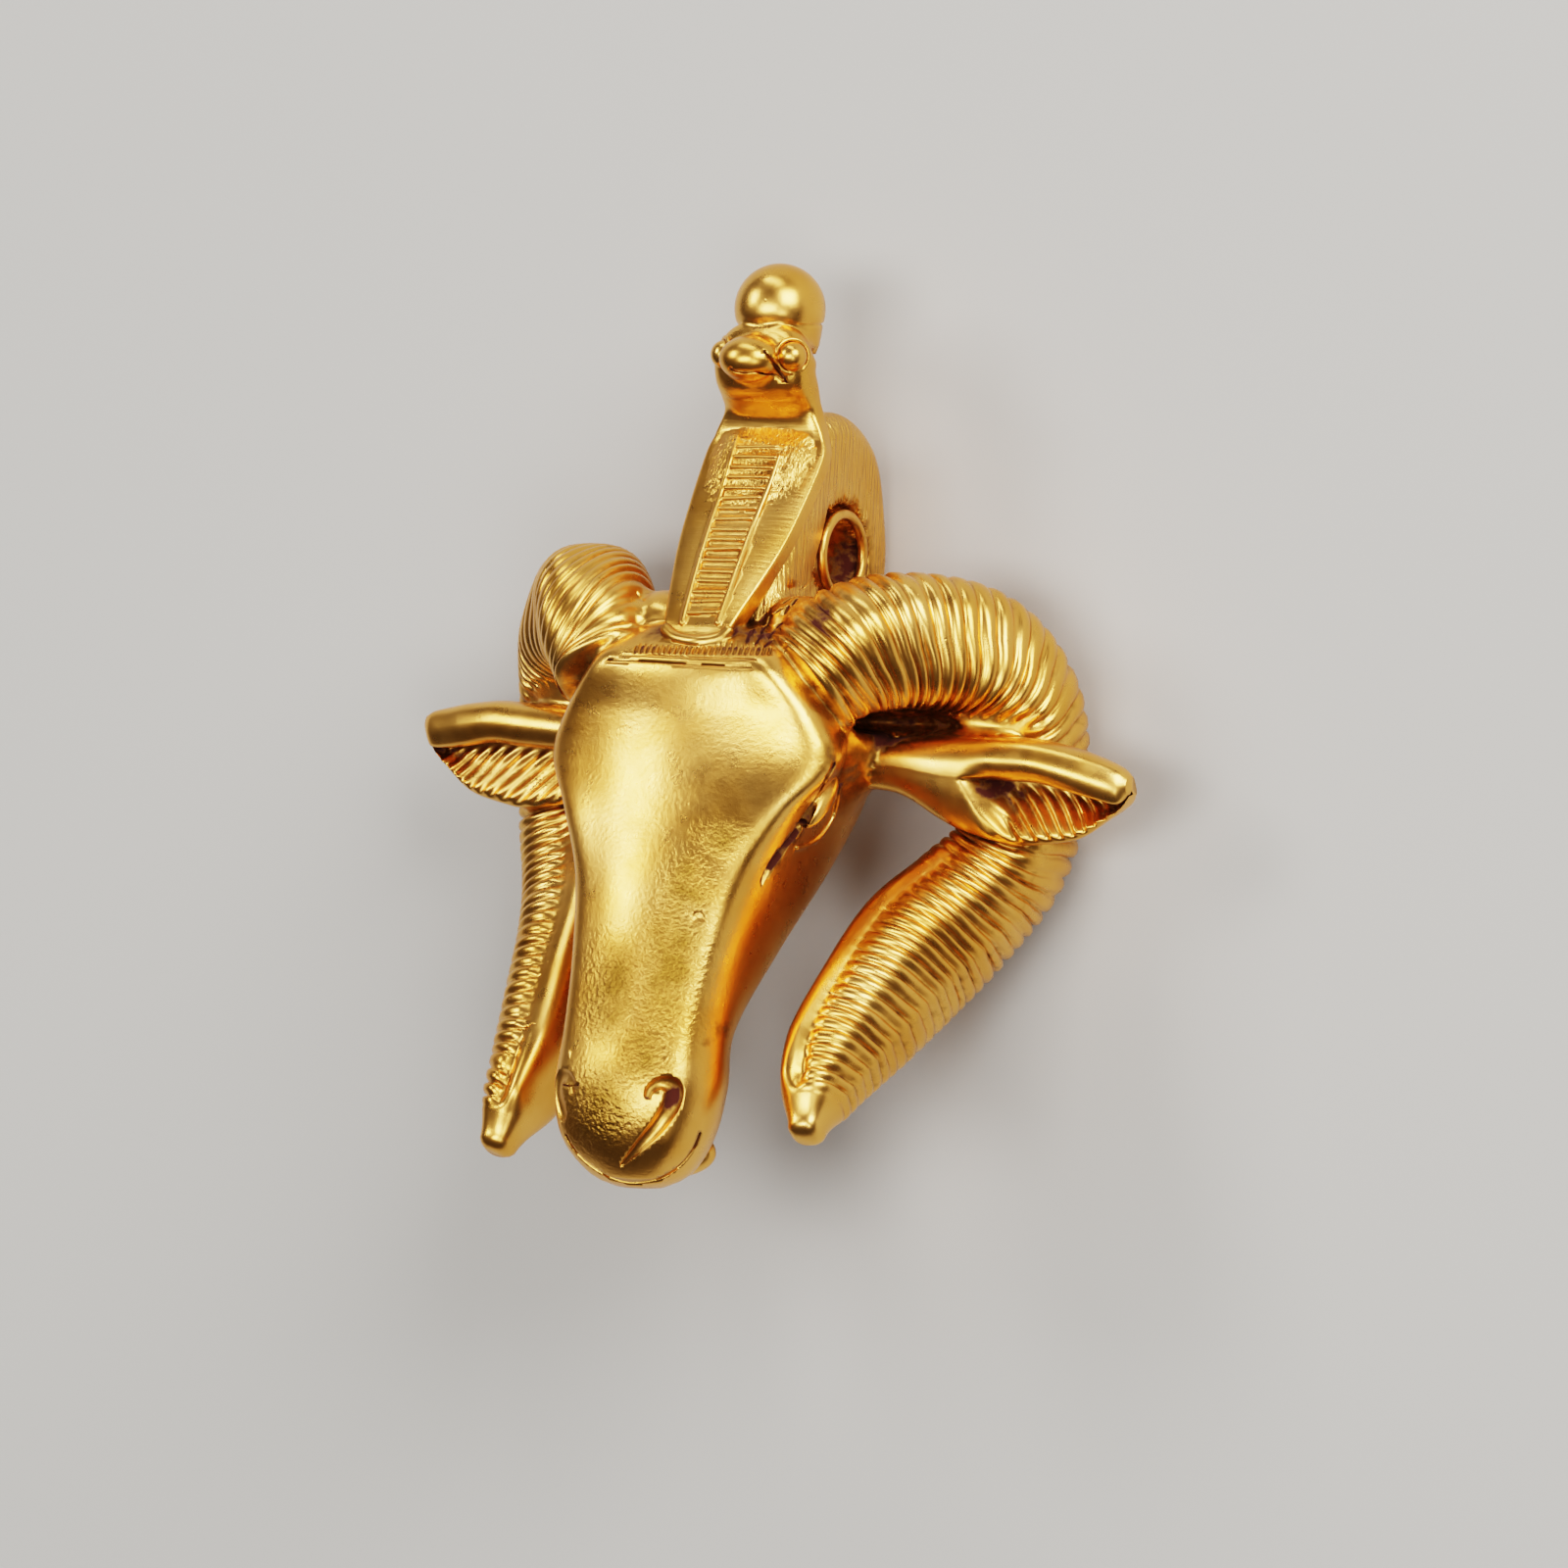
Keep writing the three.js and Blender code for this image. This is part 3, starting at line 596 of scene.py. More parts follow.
def mean_of_neighbours(values, edges, links):
    total = np.bincount(edges[:, 0], values[edges[:, 1]], len(values))
    total += np.bincount(edges[:, 1], values[edges[:, 0]], len(values))
    return total / np.maximum(links, 1)


def face_forms(mesh):
    """Each corner's edge and point, and the form of the face that it is a corner of."""
    corners = len(mesh.loops)
    edge, point = np.zeros(corners, np.int32), np.zeros(corners, np.int32)
    mesh.loops.foreach_get("edge_index", edge)
    mesh.loops.foreach_get("vertex_index", point)
    sizes, form = np.zeros(len(mesh.polygons), np.int32), np.zeros(len(mesh.polygons), np.int32)
    mesh.polygons.foreach_get("loop_total", sizes)
    mesh.attributes["form"].data.foreach_get("value", form)
    return edge, point, np.repeat(form, sizes)


def soften_seams(body):
    """Rounds the joints between the forms, as warm wax is smoothed over where two pieces meet."""
    mesh = body.data
    points, edges, links = mesh_arrays(mesh)
    edge, _, form = face_forms(mesh)
    low, high = np.full(len(edges), len(forms)), np.zeros(len(edges), int)
    np.minimum.at(low, edge, form)
    np.maximum.at(high, edge, form)
    seam = np.unique(edges[low != high])
    tree = KDTree(len(seam))
    for i, k in enumerate(seam):
        tree.insert(points[k], i)
    tree.balance()
    far = np.array([tree.find(point)[2] for point in points])
    weight = np.clip(1 - far / SEAM_REACH, 0, 1)
    for _ in range(SEAM_ROUNDS):
        for axis in range(3):
            mean = mean_of_neighbours(points[:, axis], edges, links)
            points[:, axis] += weight * SEAM_PULL * (mean - points[:, axis])
    mesh.vertices.foreach_set("co", points.ravel())
    mesh.update()


slits = [pebble("slit", np.array(SLIT) * (side, 1, 1) + (0, 0, rise), SLIT_HALF, (side, 0.1, 0))
         for side, rise in ((1, 0), (-1, WEB_RISE))]
amulet = combine(face, [skull, *crown, *horns, *ears, *webs, cobra, snout, sun, lug], "UNION")
combine(amulet, slits, "DIFFERENCE")
amulet.name = "gold_amulet"
soften_seams(amulet)
combine(amulet, cobra_eyes + lips, "UNION")

# The eyes
# Each is an almond of gold in a socket under the edge of the brow, with a thin lid below it and a groove for
# the tear gland. What was chased on the side that the photograph shows is placed by its pixels and set down
# on the surface. The cuts of the cobra's cheek and mouth are placed here too, in the same way.
EYE_SOCKET, EYE_SOCKET_HALF = (6.75, 8.9, 16.7), (0.9, 0.9, 2.5)
EYE, EYE_HALF = (5.6, 9.0, 16.85), (0.7, 0.6, 1.65)
EYE_SLOPE = (0, 0.74, 0.67)
LID = [(811, 865), (822, 863), (834, 856), (844, 844), (851, 830), (855, 814), (857, 800)]
LID_WIDTH, LID_HEIGHT = 0.11, 0.12
EYE_CUTS = [
    ("brow_groove", [(852, 778), (843, 796), (834, 812), (824, 827), (815, 842), (809, 856)],
     (0.1, 0.14, 0.16, 0.2, 0.26, 0.2), (0.15, 0.2, 0.25, 0.35, 0.45, 0.3)),
    ("tear_groove", [(818, 840), (808, 854), (797, 869), (784, 887), (777, 904)],
     (0.24, 0.3, 0.32, 0.26, 0.06), (0.45, 0.5, 0.5, 0.35, 0.06)),
    ("eye_corner", [(820, 836), (815, 846), (809, 856)], (0.16, 0.28, 0.2), (0.3, 0.5, 0.35)),
]
VIEW_AZIMUTH, VIEW_ELEVATION = 30, 5
VIEW_DISTANCE = 500.0
VIEW_MIDDLE, VIEW_DEPTH = (7.826, 17.913), 493.12  # the camera's place: right and up, and towards the viewer
PIXELS_PER_MM = 23
PHOTO_SIZE = 1600
STRAND_STEP = 0.12


def view_axes():
    """Right, up and towards the camera, for the hanging amulet."""
    side, rise = math.radians(VIEW_AZIMUTH), math.radians(VIEW_ELEVATION)
    right = Vector((math.cos(side), math.sin(side), 0))
    toward = Vector((math.sin(side) * math.cos(rise), -math.cos(side) * math.cos(rise), math.sin(rise)))
    return right, toward.cross(right), toward


right, up, toward = view_axes()
view_place = right * VIEW_MIDDLE[0] + up * VIEW_MIDDLE[1] + toward * VIEW_DEPTH


def surface_of(body):
    return BVHTree.FromObject(body, bpy.context.evaluated_depsgraph_get())


def seen_at(surface, x, y):
    """The point, normal and face that the camera sees at a pixel of the photograph."""
    ray = right * ((x - PHOTO_SIZE / 2) / PIXELS_PER_MM) - up * ((y - PHOTO_SIZE / 2) / PIXELS_PER_MM)
    ray -= toward * VIEW_DISTANCE
    return surface.ray_cast(view_place, ray.normalized())[:3]


def set_down(surface, pixels, side=1):
    """Where the camera sees those pixels of the photograph on the surface, with the normals there.
    side -1 gives the same places on the left half."""
    points, normals = [], []
    for x, y in pixels:
        point, normal, _ = seen_at(surface, x, y)
        if side < 0:
            point, normal, _, _ = surface.find_nearest(Vector((-point.x, point.y, point.z)))
        points.append(point)
        normals.append(normal)
    return np.array(points), np.array(normals)


def strand(name, surface, pixels, width, height, side=1, sink=0.0, sides=12):
    """A rod with round ends along the surface, to be added or cut out. width and height are its half sizes
    along and off the surface, one for each pixel or for all, and sink is how deep its middle lies."""
    points, normals = set_down(surface, pixels, side)
    sizes = np.column_stack([np.broadcast_to(width, len(points)), np.broadcast_to(height, len(points))])
    run = np.linalg.norm(np.diff(points, axis=0), axis=1).sum()
    count = max(6, int(run / STRAND_STEP))
    t = np.linspace(0, len(points) - 1, count + 1)
    if len(points) > 2:
        line, out, size = spline(points, t), spline(normals, t), spline(sizes, t)
    else:
        line = points[0] + (points[1] - points[0]) * t[:, None]
        out = np.repeat(normals[:1], len(t), 0)
        size = sizes[0] + (sizes[1] - sizes[0]) * t[:, None]
    ahead = np.gradient(line, axis=0)
    ahead /= np.linalg.norm(ahead, axis=1, keepdims=True)
    across = np.cross(ahead, out)
    across /= np.linalg.norm(across, axis=1, keepdims=True)
    out = np.cross(across, ahead)
    line = line - out * sink
    far = np.linspace(0, run, count + 1)
    near = np.minimum(far, run - far)
    end = np.sqrt(np.clip(1 - (1 - np.clip(near / np.maximum(size[:, 0], 1e-3), 0, 1)) ** 2, 0.02, 1))
    turn = np.arange(sides) / sides * 2 * math.pi
    rings = line[:, None] + (across * (size[:, :1] * end[:, None]))[:, None] * np.cos(turn)[None, :, None]
    rings = rings + (out * (size[:, 1:] * end[:, None]))[:, None] * np.sin(turn)[None, :, None]
    return skin(name, rings)


sockets = [pebble("socket", mirrored(EYE_SOCKET, side), EYE_SOCKET_HALF, EYE_SLOPE) for side in (-1, 1)]
combine(amulet, sockets, "DIFFERENCE")
eyes = [pebble("eye", mirrored(EYE, side), EYE_HALF, EYE_SLOPE) for side in (-1, 1)]
combine(amulet, eyes, "UNION")
surface = surface_of(amulet)
cuts = [strand(name, surface, pixels, width, deep) for name, pixels, width, deep in COBRA_CUTS]
lids = []
for side in (-1, 1):
    cuts += [strand(name, surface, pixels, width, deep, side) for name, pixels, width, deep in EYE_CUTS]
    lids.append(strand("lid", surface, LID, LID_WIDTH, LID_HEIGHT, side))
combine(amulet, lids, "UNION")
combine(amulet, cuts, "DIFFERENCE")

# The muzzle
# The nostrils are hooks cut deep at the top, with a soft swelling over them, and the mouth is one line round
# the nose pad. The chin is a small lobe behind it. The crack at the nose's edge and the dent are damage.
NOSTRIL = [
    (660, 1122), (664, 1111), (675, 1105), (687, 1110), (686, 1126), (671, 1149), (651, 1171), (633, 1190),
]
NOSTRIL_WIDTH = (0.14, 0.24, 0.32, 0.44, 0.46, 0.38, 0.26, 0.06)
NOSTRIL_DEPTH = (0.12, 0.2, 0.32, 0.45, 0.42, 0.32, 0.2, 0.04)
NOSTRIL_CUTS = ((-1, 6, 0.4), (1, 8, 1.0))  # the side, how many points of the hook, what share of its depth
MOUTH = [
    (577, 1157), (592, 1180), (614, 1197), (641, 1207), (668, 1204), (692, 1191), (706, 1175), (715, 1155),
]
MOUTH_WIDTH, MOUTH_DEPTH = 0.1, 0.16
SWELL, SWELL_WIDTH, SWELL_HEIGHT, SWELL_SINK = [(676, 1080), (682, 1084)], 0.9, 0.42, 0.2
CRACK, CRACK_WIDTH, CRACK_DEPTH = [(574, 1107), (582, 1108), (591, 1107)], 0.04, 0.1
DENT, DENT_WIDTH, DENT_DEPTH, DENT_LIFT = [(705, 933), (712, 936), (720, 934)], 0.3, 0.16, 0.07
CHIN, CHIN_HALF = (0, 5.3, 1.35), (2.45, 1.1, 1.2)

combine(amulet, [pebble("chin", CHIN, CHIN_HALF)], "UNION")
surface = surface_of(amulet)
swells = [strand("swell", surface, SWELL, SWELL_WIDTH, SWELL_HEIGHT, side, SWELL_SINK, sides=24)
          for side in (-1, 1)]
combine(amulet, swells, "UNION")
surface = surface_of(amulet)
cuts = [strand("mouth", surface, MOUTH, MOUTH_WIDTH, MOUTH_DEPTH)]
cuts.append(strand("crack", surface, CRACK, CRACK_WIDTH, CRACK_DEPTH, sides=8))
cuts.append(strand("dent", surface, DENT, DENT_WIDTH, DENT_DEPTH, sink=-DENT_LIFT, sides=20))
for side, shown, deep in NOSTRIL_CUTS:
    depth = deep * np.array(NOSTRIL_DEPTH)[:shown]
    cuts.append(strand("nostril", surface, NOSTRIL[:shown], NOSTRIL_WIDTH[:shown], depth, side))
combine(amulet, cuts, "DIFFERENCE")

# The hood's ladder
# Two ridges run up the hood with rungs between them, and the foot of the hood ends in a lip. They were
# chased by eye, so no two rungs lie quite alike.
LEFT_RIDGE = [(696, 639), (710, 588), (723, 545), (735, 507), (746, 470), (754, 446)]
RIGHT_RIDGE = [(732, 639), (746, 600), (760, 561), (772, 529), (786, 494), (797, 464)]
RIDGE_WIDTHS, RIDGE_HEIGHT = (0.2, 0.17, 0.16, 0.15, 0.14, 0.1), 0.17
RUNG_FIRST, RUNG_LAST, RUNGS = 626, 456, 17
RUNG_WIDTH, RUNG_HEIGHT = 0.11, 0.16
RUNG_SHIFT, RUNG_TILT = 1, 1.5  # in pixels, at most
HOOD_LIP, HOOD_LIP_ROD = [(678, 640), (690, 651), (712, 655), (735, 651), (746, 640)], 0.3


def along(line, y):
    """The x of a line of pixels at a height y in the photograph."""
    line = sorted(line, key=lambda pixel: pixel[1])
    return float(np.interp(y, [pixel[1] for pixel in line], [pixel[0] for pixel in line]))


surface = surface_of(amulet)
ridges = [strand("ridge", surface, line, RIDGE_WIDTHS, RIDGE_HEIGHT) for line in (LEFT_RIDGE, RIGHT_RIDGE)]
ridges.append(strand("lip", surface, HOOD_LIP, HOOD_LIP_ROD, HOOD_LIP_ROD))
rungs = []
for y in np.linspace(RUNG_FIRST, RUNG_LAST, RUNGS) + draw.uniform(-RUNG_SHIFT, RUNG_SHIFT, RUNGS):
    ends = [(along(LEFT_RIDGE, y), y), (along(RIGHT_RIDGE, y), y + draw.uniform(-RUNG_TILT, RUNG_TILT))]
    rungs.append(strand("rung", surface, ends, RUNG_WIDTH, RUNG_HEIGHT, sides=10))
combine(amulet, ridges + rungs, "UNION")

# The hairline and the wool
# Two fine lines and a row of short strokes end the forehead, and the crown on both sides of the cobra's foot
# is covered in strokes of wool. Each is one push of the graver.
HAIR_LINES = [
    [(632, 668), (660, 669), (700, 671), (745, 672), (772, 673)],
    [(618, 675), (650, 676), (700, 679), (740, 681), (768, 683)],
]
HAIR_WIDTH, HAIR_DEPTH = 0.05, 0.035
HATCH_START, HATCH_END, HATCH_COUNT = (648, 667), (784, 669), 24
HATCH_STROKE, HATCH_WIDTH, HATCH_DEPTH = (3, -9), 0.09, 0.08
WOOL = [  # the pixels where the rows start, the way the strokes go, and where the next row lies
    ([(616, 655), (634, 648), (656, 634), (664, 600)], (-0.5, -0.85), (-1, 0.2)),
    ([(757, 655), (772, 630), (792, 606), (815, 588)], (0.6, -0.8), (1, 0.25)),
]
WOOL_ROWS, WOOL_PER_ROW = 5, 8
WOOL_STEP, WOOL_SHIFT = 9, 0.1
WOOL_LEAN = 20
WOOL_SHORTEST, WOOL_LONGEST = 9, 15
WOOL_WIDTH, WOOL_DEPTH = 0.07, 0.12


def on_crown(surface, x, y):
    """Whether the camera sees the crown itself there, and no horn, hood or lug."""
    number = amulet.data.attributes["form"].data[seen_at(surface, x, y)[2]].value
    return forms[number] in ("face", "skull")


def wool_stroke(surface, x, y, way):
    """One short cut of the graver, leaning by a random angle from the way the wool grows."""
    lean = math.radians(draw.uniform(-WOOL_LEAN, WOOL_LEAN))
    length = draw.uniform(WOOL_SHORTEST, WOOL_LONGEST)
    step = (length * (way[0] * math.cos(lean) - way[1] * math.sin(lean)),
            length * (way[0] * math.sin(lean) + way[1] * math.cos(lean)))
    return strand("wool", surface, [(x, y), (x + step[0], y + step[1])], WOOL_WIDTH, WOOL_DEPTH, sides=8)


surface = surface_of(amulet)
cuts = [strand("hair_line", surface, line, HAIR_WIDTH, HAIR_DEPTH, sides=8) for line in HAIR_LINES]
for n in range(HATCH_COUNT):
    f = n / (HATCH_COUNT - 1)
    foot = [HATCH_START[k] + f * (HATCH_END[k] - HATCH_START[k]) for k in (0, 1)]
    head = (foot[0] + HATCH_STROKE[0], foot[1] + HATCH_STROKE[1])
    cuts.append(strand("hatch", surface, [foot, head], HATCH_WIDTH, HATCH_DEPTH, sides=8))
for edge, way, aside in WOOL:
    for row in range(WOOL_ROWS):
        shift = draw.uniform(-WOOL_SHIFT, WOOL_SHIFT, WOOL_PER_ROW)
        line = spline(edge, np.linspace(0, len(edge) - 1, WOOL_PER_ROW) + shift)
        for x, y in line + np.array(aside) * WOOL_STEP * (row + 0.5):
            if on_crown(surface, x, y):
                cuts.append(wool_stroke(surface, x, y, way))
combine(amulet, cuts, "DIFFERENCE")

# The wear, the dirt and the painted shade
# Handling polished what stands out, and the ground left a red-brown film wherever no thumb reaches; the same
# darker colours also paint the shade in the hollows and on the nose. The mesh says how closed in and how
# folded each point is, and where the metal's own finish differs or dirt and painted shade lie.
HOLLOW_RAYS, HOLLOW_REACH = 12, 3.0
GOLDEN_TURN = 2.4
FINISH_SPOTS = {  # the pixel of each spot's middle, and how far it spreads along x, y and z
    # the hammered patches; their darker colour is partly painted shade on the nose
    "mottle": [
        ((684, 985), (1.5, 3.0, 3.6)), ((700, 905), (1.2, 2.0, 1.8)),
        ((655, 1075), (1.3, 2.0, 1.4)), ((625, 1010), (1.6, 2.0, 2.6)),
        ((610, 1130), (1.8, 2.5, 2.0)), ((735, 855), (1.2, 1.5, 0.8)),
    ],
    # these spots paint shade as well as dirt: darker colour at the ear roots, the slits, the tear groove,
    # the nostril and the horn roots
    "dirt_and_shade": [
        ((738, 1050), (0.5, 0.9, 0.4)), ((722, 1062), (0.3, 0.5, 0.2)),
        ((866, 790), (1.2, 1.6, 1.4)), ((905, 755), (1.6, 1.6, 0.8)),
        ((838, 625), (1.0, 1.6, 1.6)), ((765, 650), (1.2, 1.0, 0.8)),
        ((672, 645), (0.7, 0.9, 0.8)), ((808, 857), (0.4, 1.0, 0.5)),
        ((790, 880), (0.4, 1.0, 0.6)), ((845, 770), (0.5, 1.0, 0.8)),
        ((862, 575), (1.3, 2.0, 2.0)), ((685, 1122), (0.5, 0.6, 0.6)),
        ((1008, 808), (1.5, 1.2, 0.5)),
    ],
}


def write_values(mesh, name, values):
    mesh.attributes.new(name, "FLOAT", "POINT").data.foreach_set("value", values.astype(np.float32))


def write_hollows(body):
    """How much of the sky over each point is closed off by the rest of the amulet."""
    mesh = body.data
    points, edges, links = mesh_arrays(mesh)
    surface = surface_of(body)
    step = np.arange(HOLLOW_RAYS) + 0.5
    rise = np.sqrt(1 - step / HOLLOW_RAYS)
    flat = np.sqrt(1 - rise**2)
    turn = step * GOLDEN_TURN
    dome = [Vector(ray) for ray in zip(flat * np.cos(turn), flat * np.sin(turn), rise)]
    closed = np.zeros(len(points))
    for i, vertex in enumerate(mesh.vertices):
        facing = Vector((0, 0, 1)).rotation_difference(vertex.normal)
        start = vertex.co + vertex.normal * 0.02
        for ray in dome:
            far = surface.ray_cast(start, facing @ ray, HOLLOW_REACH)[3]
            if far is not None:
                closed[i] += 1 - far / HOLLOW_REACH
    closed /= HOLLOW_RAYS
    for _ in range(3):
        closed = 0.5 * closed + 0.5 * mean_of_neighbours(closed, edges, links)
    write_values(mesh, "hollow", closed)


def write_folds(body):
    """How sharply the surface folds in at each point, as in the bottom of a cut."""
    mesh = body.data
    points, edges, links = mesh_arrays(mesh)
    normals = np.array([vertex.normal for vertex in mesh.vertices])
    along_edge = points[edges[:, 1]] - points[edges[:, 0]]
    run = np.maximum(np.linalg.norm(along_edge, axis=1), 0.02)
    rise = np.einsum("ij,ij->i", along_edge, normals[edges[:, 0]]) / run
    fall = np.einsum("ij,ij->i", -along_edge, normals[edges[:, 1]]) / run
    fold = np.bincount(edges[:, 0], rise, len(points)) + np.bincount(edges[:, 1], fall, len(points))
    fold /= np.maximum(links, 1)
    for _ in range(2):
        fold = 0.5 * fold + 0.5 * mean_of_neighbours(fold, edges, links)
    write_values(mesh, "fold", fold)


def write_finish(body):
    """Where the hammered nose, the dirt and painted shade, the brushed lug, the filed cobra and the face
    are.
    """
    mesh = body.data
    points = mesh_arrays(mesh)[0]
    surface = surface_of(body)
    for name, spots in FINISH_SPOTS.items():
        mask = np.zeros(len(points))
        for pixel, spread in spots:
            middle = set_down(surface, [pixel])[0][0]
            mask = np.maximum(mask, np.exp(-(((points - middle) / spread) ** 2).sum(1)))
        write_values(mesh, name, mask)
    _, corner, form = face_forms(mesh)
    total = np.bincount(corner, minlength=len(points))
    for name in ("lug", "cobra", "face"):
        share = np.bincount(corner, form == forms.index(name), len(points)) / np.maximum(total, 1)
        write_values(mesh, name, share)


write_hollows(amulet)
write_folds(amulet)
write_finish(amulet)

# The rest on its back
# The amulet can't stand, so it lies on its back, face up, on the worn backs of the lug and the horns.
REST_TILT = 6.1  # degrees that the head leans from level
REST_PLANE = 17.98  # how high over the table the hanging amulet's origin comes to lie
METRE = 0.001
SLAB = 0.1


def lay_down():
    """The turn from the hanging amulet to the lying one, in metres, centred on the CAD model's box."""
    turn = Matrix.Rotation(math.radians(REST_TILT - 90), 4, "X") @ Matrix.Scale(METRE, 4)
    points = np.array([v.co for v in amulet.data.vertices]) @ np.array(turn)[:3, :3].T
    low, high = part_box("amulet")
    middle = (low + high) / 2
    own = (points.min(0) + points.max(0)) / 2
    return Matrix.Translation((middle.x - own[0], middle.y - own[1], REST_PLANE * METRE)) @ turn


laid = lay_down()
amulet.data.transform(laid)
slab = mesh_object("slab", [(x, y, z) for x in (-SLAB, SLAB) for y in (-SLAB, SLAB) for z in (-SLAB, 0.0)],
                   [(0, 1, 3, 2), (4, 6, 7, 5), (0, 4, 5, 1), (2, 3, 7, 6), (0, 2, 6, 4), (1, 5, 7, 3)])
combine(amulet, [slab], "DIFFERENCE")
for p in amulet.data.polygons:
    p.use_smooth = True
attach(amulet, "root")
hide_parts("amulet")


# The gold
# Cast gold of a high carat, scraped, chased and then burnished with a stone. The burnishing leaves it bright
# but a little wavy, the clay mould left a few shallow pits, and a hammer roughened the middle of the nose.
def shade(hex_colour):
    """An sRGB hex colour as linear values for a shader."""
    parts = [int(hex_colour[i:i + 2], 16) / 255 for i in (1, 3, 5)]
    return [c / 12.92 if c <= 0.04045 else ((c + 0.055) / 1.055) ** 2.4 for c in parts] + [1]


def add(tree, kind, inputs=None, output=0, **settings):
    """Adds a node, sets its inputs to values or links them to sockets, and gives back one of its outputs."""
    node = tree.nodes.new("ShaderNode" + kind)
    for name, value in settings.items():
        setattr(node, name, value)
    for name, value in (inputs or {}).items():
        if isinstance(value, bpy.types.NodeSocket):
            tree.links.new(value, node.inputs[name])
        else:
            node.inputs[name].default_value = value
    return node.outputs[output] if node.outputs else None


GOLD_YELLOW, GOLD_DEEP = "#f6b866", "#eaa650"
# darker colours: besides tarnish, film and soil they paint the shade in the hollows and on the nose
TARNISH_AND_SHADE, FILM_AND_SHADE_ORANGE, SOIL_AND_SHADE_BROWN = "#99702f", "#9a6d34", "#4c1e10"
PER_MM = 1000
CLOUD_MM, PATCH_MM, SPECK_MM = 3.5, 0.9, 0.5
DENT_MM, PIT_MM = 0.2, 0.9
BRUSH_MM, GRAIN_MM = 0.15, 0.05  # coarser than the real scratches, 0.02 mm apart, so that they show
RELIEF = 0.06 * METRE
DENTS_PLAIN, DENTS_HAMMERED, DENTS_FACE = 0.04, 1.4, 0.14
BRUSH_DEPTH, FILING_DEPTH, GRAIN_DEPTH = 2.2, 0.16, 0.05
PIT_RADIUS, PIT_DEPTH, PIT_CHANCE = 0.08, 0.18, (0.6, 0.65)
ROUGH_LEAST, ROUGH_MOST, SOIL_METALLIC = 0.26, 0.32, 0.05


